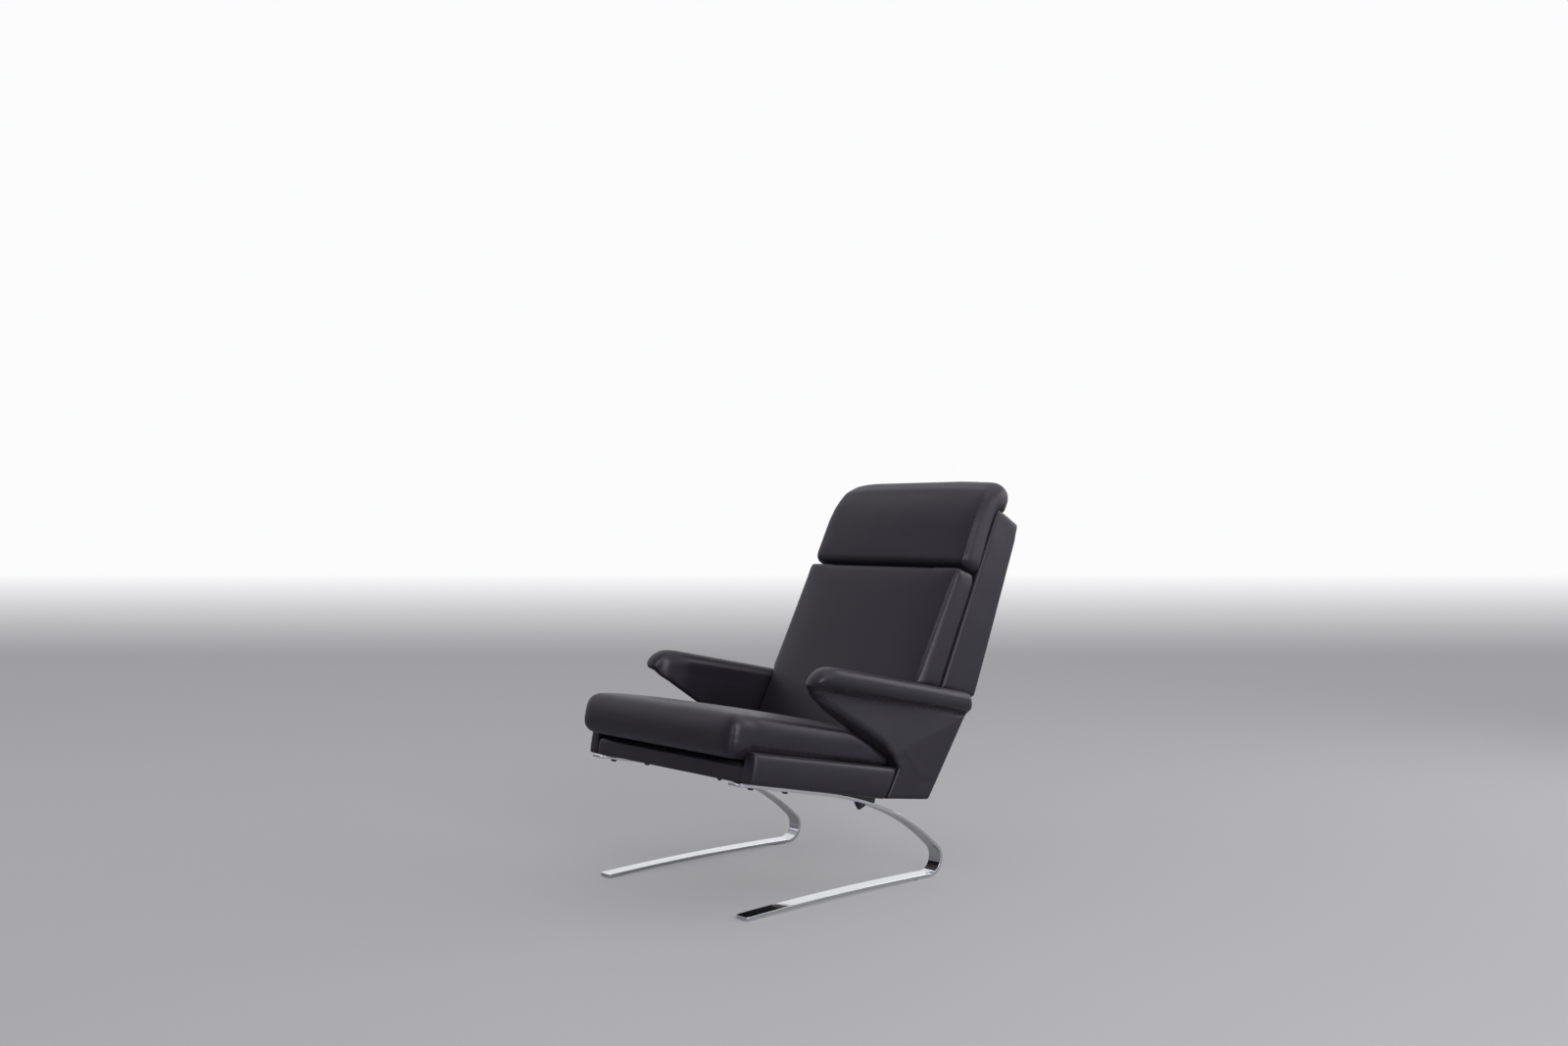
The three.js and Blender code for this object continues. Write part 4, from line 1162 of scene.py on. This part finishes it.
def shape_arm(piece):
    """Leans the arm's slanted front outwards, tucks the panel in and melts the nose together."""
    for vertex in piece.data.vertices:
        along, up = along_and_up(vertex.co)
        across = from_middle(vertex.co)
        moved = set_back(along, up, across)
        vertex.co += moved.x * SEAT_ALONG + moved.y * SEAT_UP
        vertex.co.x += math.copysign(sideways(along, up, across) * MM, vertex.co.x)
    relax_where(
        piece, NOSE_SOFTENING, lambda vertex: fade(along_and_up(vertex.co)[0], *NOSE_SOFTENED)
    )


# %% Arms and rails
ARM_CREASES = (
    ((240, 231), (650, 233), 4, -2.5),
    ((458, 118), (520, 78), 9, -0.7),
    ((452, 132), (560, 60), 12, 0.7),
    ((540, 40), (580, 62), 6, -0.9),
)
RAIL_END = ((300, 3), (429, 3), (455, 74), (300, 70))
RAIL_SIDES = (282, 304)
RAIL_OUTER = 303
RAIL_BOW = 4
RAIL_MIDDLE = 36
RAIL_HALF = 40
OUTER_MARGIN = 8


def arm_creases(side):
    """Folds of the arm's hide: first and last place, width and height in millimetres."""
    across = side * ARM_SIDE
    return [
        (on_seat(across, *first), on_seat(across, *last), width, height)
        for first, last, width, height in ARM_CREASES
    ]


def bow_side(vertex, measure, middle, half, amount, outer):
    """Swells an outer side in its middle, or with an amount below zero draws in its edges."""
    share = min(abs(measure - middle) / half, 1) ** 2
    swell = amount * (1 - share) if amount > 0 else amount * share
    swell *= rise(from_middle(vertex.co), outer - OUTER_MARGIN, outer)
    vertex.co.x += math.copysign(swell * MM, vertex.co.x)


def bow_rail(piece):
    for vertex in piece.data.vertices:
        _, up = along_and_up(vertex.co)
        bow_side(vertex, up, RAIL_MIDDLE, RAIL_HALF, RAIL_BOW, RAIL_OUTER)


for side, label in zip(SIDES, ("left", "right")):
    skin(
        f"arm_leather_{label}",
        [f"arm_roll_{label}", f"side_panel_outer_{label}", f"side_panel_inner_{label}"],
        size=3.5, soft=3, wave=0.4, creases=arm_creases(side),
        fillers=nose_blocks(side) + [flush_block(side)],
        before=roll_shape, after=shape_arm, hidden=[f"arm_board_{label}"],
    )
    skin(
        f"rail_leather_{label}", [f"side_rail_pad_{label}"], size=3, soft=3, wave=0.3,
        fillers=[block(on_seat, side, RAIL_END, RAIL_SIDES)], after=bow_rail,
    )

# %% Apron, shell and rear panel
SHELL_OUTER = 272
SHELL_BOW = -4
SHELL_MIDDLE = 25
SHELL_HALF = 80
TOP_EDGE_HEIGHTS = (435, 470)
TOP_EDGE_DEPTHS = (45, 75)
TOP_EDGE_ROUNDING = 35


def shape_shell(piece):
    """Gives the shell's sides a shallow belly, and rounds its upper rear edge."""
    for vertex in piece.data.vertices:
        depth, _ = depth_and_height(vertex.co)
        bow_side(vertex, depth, SHELL_MIDDLE, SHELL_HALF, SHELL_BOW, SHELL_OUTER)

    def top_edge(vertex):
        depth, height = depth_and_height(vertex.co)
        return rise(height, *TOP_EDGE_HEIGHTS) * rise(depth, *TOP_EDGE_DEPTHS)

    relax_where(piece, TOP_EDGE_ROUNDING, top_edge)


skin("apron_leather", ["front_apron"], size=4, soft=3)
skin("shell_leather", ["back_shell"], size=4.2, soft=9, after=shape_shell)
skin("rear_leather", ["rear_panel"], size=4.5, soft=4)

# %% [markdown]
# The wood that could be seen through the gaps between the cushions is wrapped in black
# lining cloth, which paints the shade in those gaps: the front of the seat frame, and the
# board that the back cushions lean on.

# %% Lined wood as painted shade
WRAP_EDGE = 2
WRAP_STEPS = 3


def shade_lined(name, node):
    """One of the frame's boards in a tight wrap of black cloth, as painted shade in its gap."""
    piece = solid_copy(name, [node], FINISHES["black_cloth"])
    modify(piece, "BEVEL", width=WRAP_EDGE * MM, segments=WRAP_STEPS)
    smooth_shade(piece)
    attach(piece, "seat_unit")
    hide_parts(node)
    return piece


# Black cloth on these boards paints the shade in the gaps between the cushions.
for name, node in (("front_shade_lining", "seat_member_front"), ("back_shade_lining", "back_board")):
    print(name, triangles(shade_lined(name, node)), "triangles")
for label in ("left", "right"):
    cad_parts[f"seat_member_{label}"].data.materials[0] = FINISHES["black_cloth"]

# %% [markdown]
# The chair stands in a plain pale studio. The floor and the backdrop are one sheet that
# curves up behind it. The strongest soft lamp is a window on the sitter's left, with
# weaker ones on the other side, behind and above. Black leather shows little but what it mirrors,
# so the air around is a second light: dark low in front, and pale high up behind on the left.

# %% Studio
FLOOR_TONE = (0.50, 0.50, 0.52)
WALL_TONE = (0.97, 0.97, 0.98)
FLOOR_MOTTLE = 0.985
FLOOR_GLOW = 0.45
WALL_FOOT = 0.5
SHEET_HALF = 14
SHEET_FRONT = -12
SHEET_REAR = 7
SHEET_HEIGHT = 9
SHEET_CURVE = 1.5
CURVE_STEPS = 16


def studio_material():
    """Pale paper. The camera and mirrors also see its own glow, so it needs no extra light."""
    material, tree, shader = new_finish("studio_paper")
    place = object_place(tree)
    mottle = cloudy(tree, place, Scale=1.4, Detail=3)
    mottled = tuple(FLOOR_MOTTLE * v for v in FLOOR_TONE)
    paint(tree, shader, mottle, (mottled, FLOOR_TONE), (0.7, 0.7))
    height = add_node(tree, "ShaderNodeSeparateXYZ", {"Vector": place}).outputs["Z"]
    wall = spread(tree, height, 0, 1, end=WALL_FOOT)
    glow = add_node(
        tree, "ShaderNodeEmission", {"Color": blend_colours(tree, wall, FLOOR_TONE, WALL_TONE)}
    ).outputs["Emission"]
    rays = tree.nodes.new("ShaderNodeLightPath").outputs
    mirrored = combine(tree, "MULTIPLY", rays["Is Glossy Ray"], wall)
    viewed = combine(tree, "MULTIPLY", rays["Is Camera Ray"], spread(tree, wall, FLOOR_GLOW, 1))
    glowing = combine(tree, "MAXIMUM", mirrored, viewed)
    mixed = mix_shaders(tree, glowing, shader.outputs["BSDF"], glow)
    tree.links.new(mixed, tree.nodes["Material Output"].inputs["Surface"])
    return material


def backdrop():
    """Floor and rear wall in one sheet, with a wide curve between them."""
    outline = [(SHEET_FRONT, 0), (SHEET_REAR - SHEET_CURVE, 0)]
    for i in range(1, CURVE_STEPS + 1):
        angle = math.pi / 2 * i / CURVE_STEPS
        forward = SHEET_REAR - SHEET_CURVE + SHEET_CURVE * math.sin(angle)
        outline.append((forward, SHEET_CURVE - SHEET_CURVE * math.cos(angle)))
    outline.append((SHEET_REAR, SHEET_HEIGHT))
    turn = math.radians(CAMERA_TURN)
    across = Vector((math.cos(turn), math.sin(turn), 0))
    away = Vector((-math.sin(turn), math.cos(turn), 0))
    corners, faces = [], []
    for distance, up in outline:
        for share in (-1, 1):
            corners.append(across * SHEET_HALF * share + away * distance + Vector((0, 0, up)))
    for i in range(len(outline) - 1):
        faces.append((2 * i, 2 * i + 1, 2 * i + 3, 2 * i + 2))
    mesh = bpy.data.meshes.new("studio")
    mesh.from_pydata(corners, [], faces)
    sheet = new_piece("studio", mesh, studio_material())
    smooth_shade(sheet)
    return sheet


backdrop()

# %% Lamps
CHAIR_MIDDLE = (0, 0, 0.5)
# Each lamp has its place and width in metres, and its power in watts.
LAMPS = (
    ("window lamp", (4.2, -1.5, 1.9), 1.5, 95),
    ("side lamp", (-2.6, -2.8, 2.4), 2.0, 10),
    ("rear lamp", (1.6, 2.9, 1.9), 1.8, 26),
    ("top lamp", (0.6, 0.6, 3.4), 2.0, 8),
)


def soft_lamp(name, place, size, power):
    """A square lamp that looks at the middle of the chair."""
    data = bpy.data.lights.new(name, "AREA")
    data.shape = "SQUARE"
    data.size = size
    data.energy = power
    lamp = bpy.data.objects.new(name, data)
    lamp.location = place
    aim = Vector(CHAIR_MIDDLE) - Vector(place)
    lamp.rotation_euler = aim.to_track_quat("-Z", "Y").to_euler()
    bpy.context.scene.collection.objects.link(lamp)


for name, place, size, power in LAMPS:
    soft_lamp(name, place, size, power)

# %% The air around
LIGHT_END = (0.60, 0.60, 0.53)
LIGHT_RANGE = (-0.9, 0.8)
DARK_AIR = (0.12, 0.112, 0.145)
LIGHT_AIR = (1.02, 1.0, 1.06)
AIR_STRENGTH = 0.42


def air_colour(tree):
    """Goes from dark to light towards the light end of the room."""
    direction = tree.nodes.new("ShaderNodeTexCoord").outputs["Generated"]
    towards_light = add_node(
        tree, "ShaderNodeVectorMath", {0: direction, 1: LIGHT_END}, operation="DOT_PRODUCT"
    ).outputs["Value"]
    lightness = spread(tree, towards_light, 0, 1, *LIGHT_RANGE)
    return blend_colours(tree, lightness, DARK_AIR, LIGHT_AIR)


def light_the_air(tree):
    """Dim air as light, the same air at full strength in mirrors, and white behind the chair."""
    room = air_colour(tree)
    dim = tree.nodes["Background"]
    dim.inputs["Strength"].default_value = AIR_STRENGTH
    tree.links.new(room, dim.inputs["Color"])
    full = add_node(tree, "ShaderNodeBackground", {"Color": room})
    white = add_node(tree, "ShaderNodeBackground", {"Color": (*WALL_TONE, 1)})
    rays = tree.nodes.new("ShaderNodeLightPath").outputs
    felt = mix_shaders(
        tree, rays["Is Glossy Ray"], dim.outputs["Background"], full.outputs["Background"]
    )
    seen = mix_shaders(tree, rays["Is Camera Ray"], felt, white.outputs["Background"])
    tree.links.new(seen, tree.nodes["World Output"].inputs["Surface"])


world = bpy.data.worlds.new("studio air")
bpy.context.scene.world = world
world.use_nodes = True
light_the_air(world.node_tree)
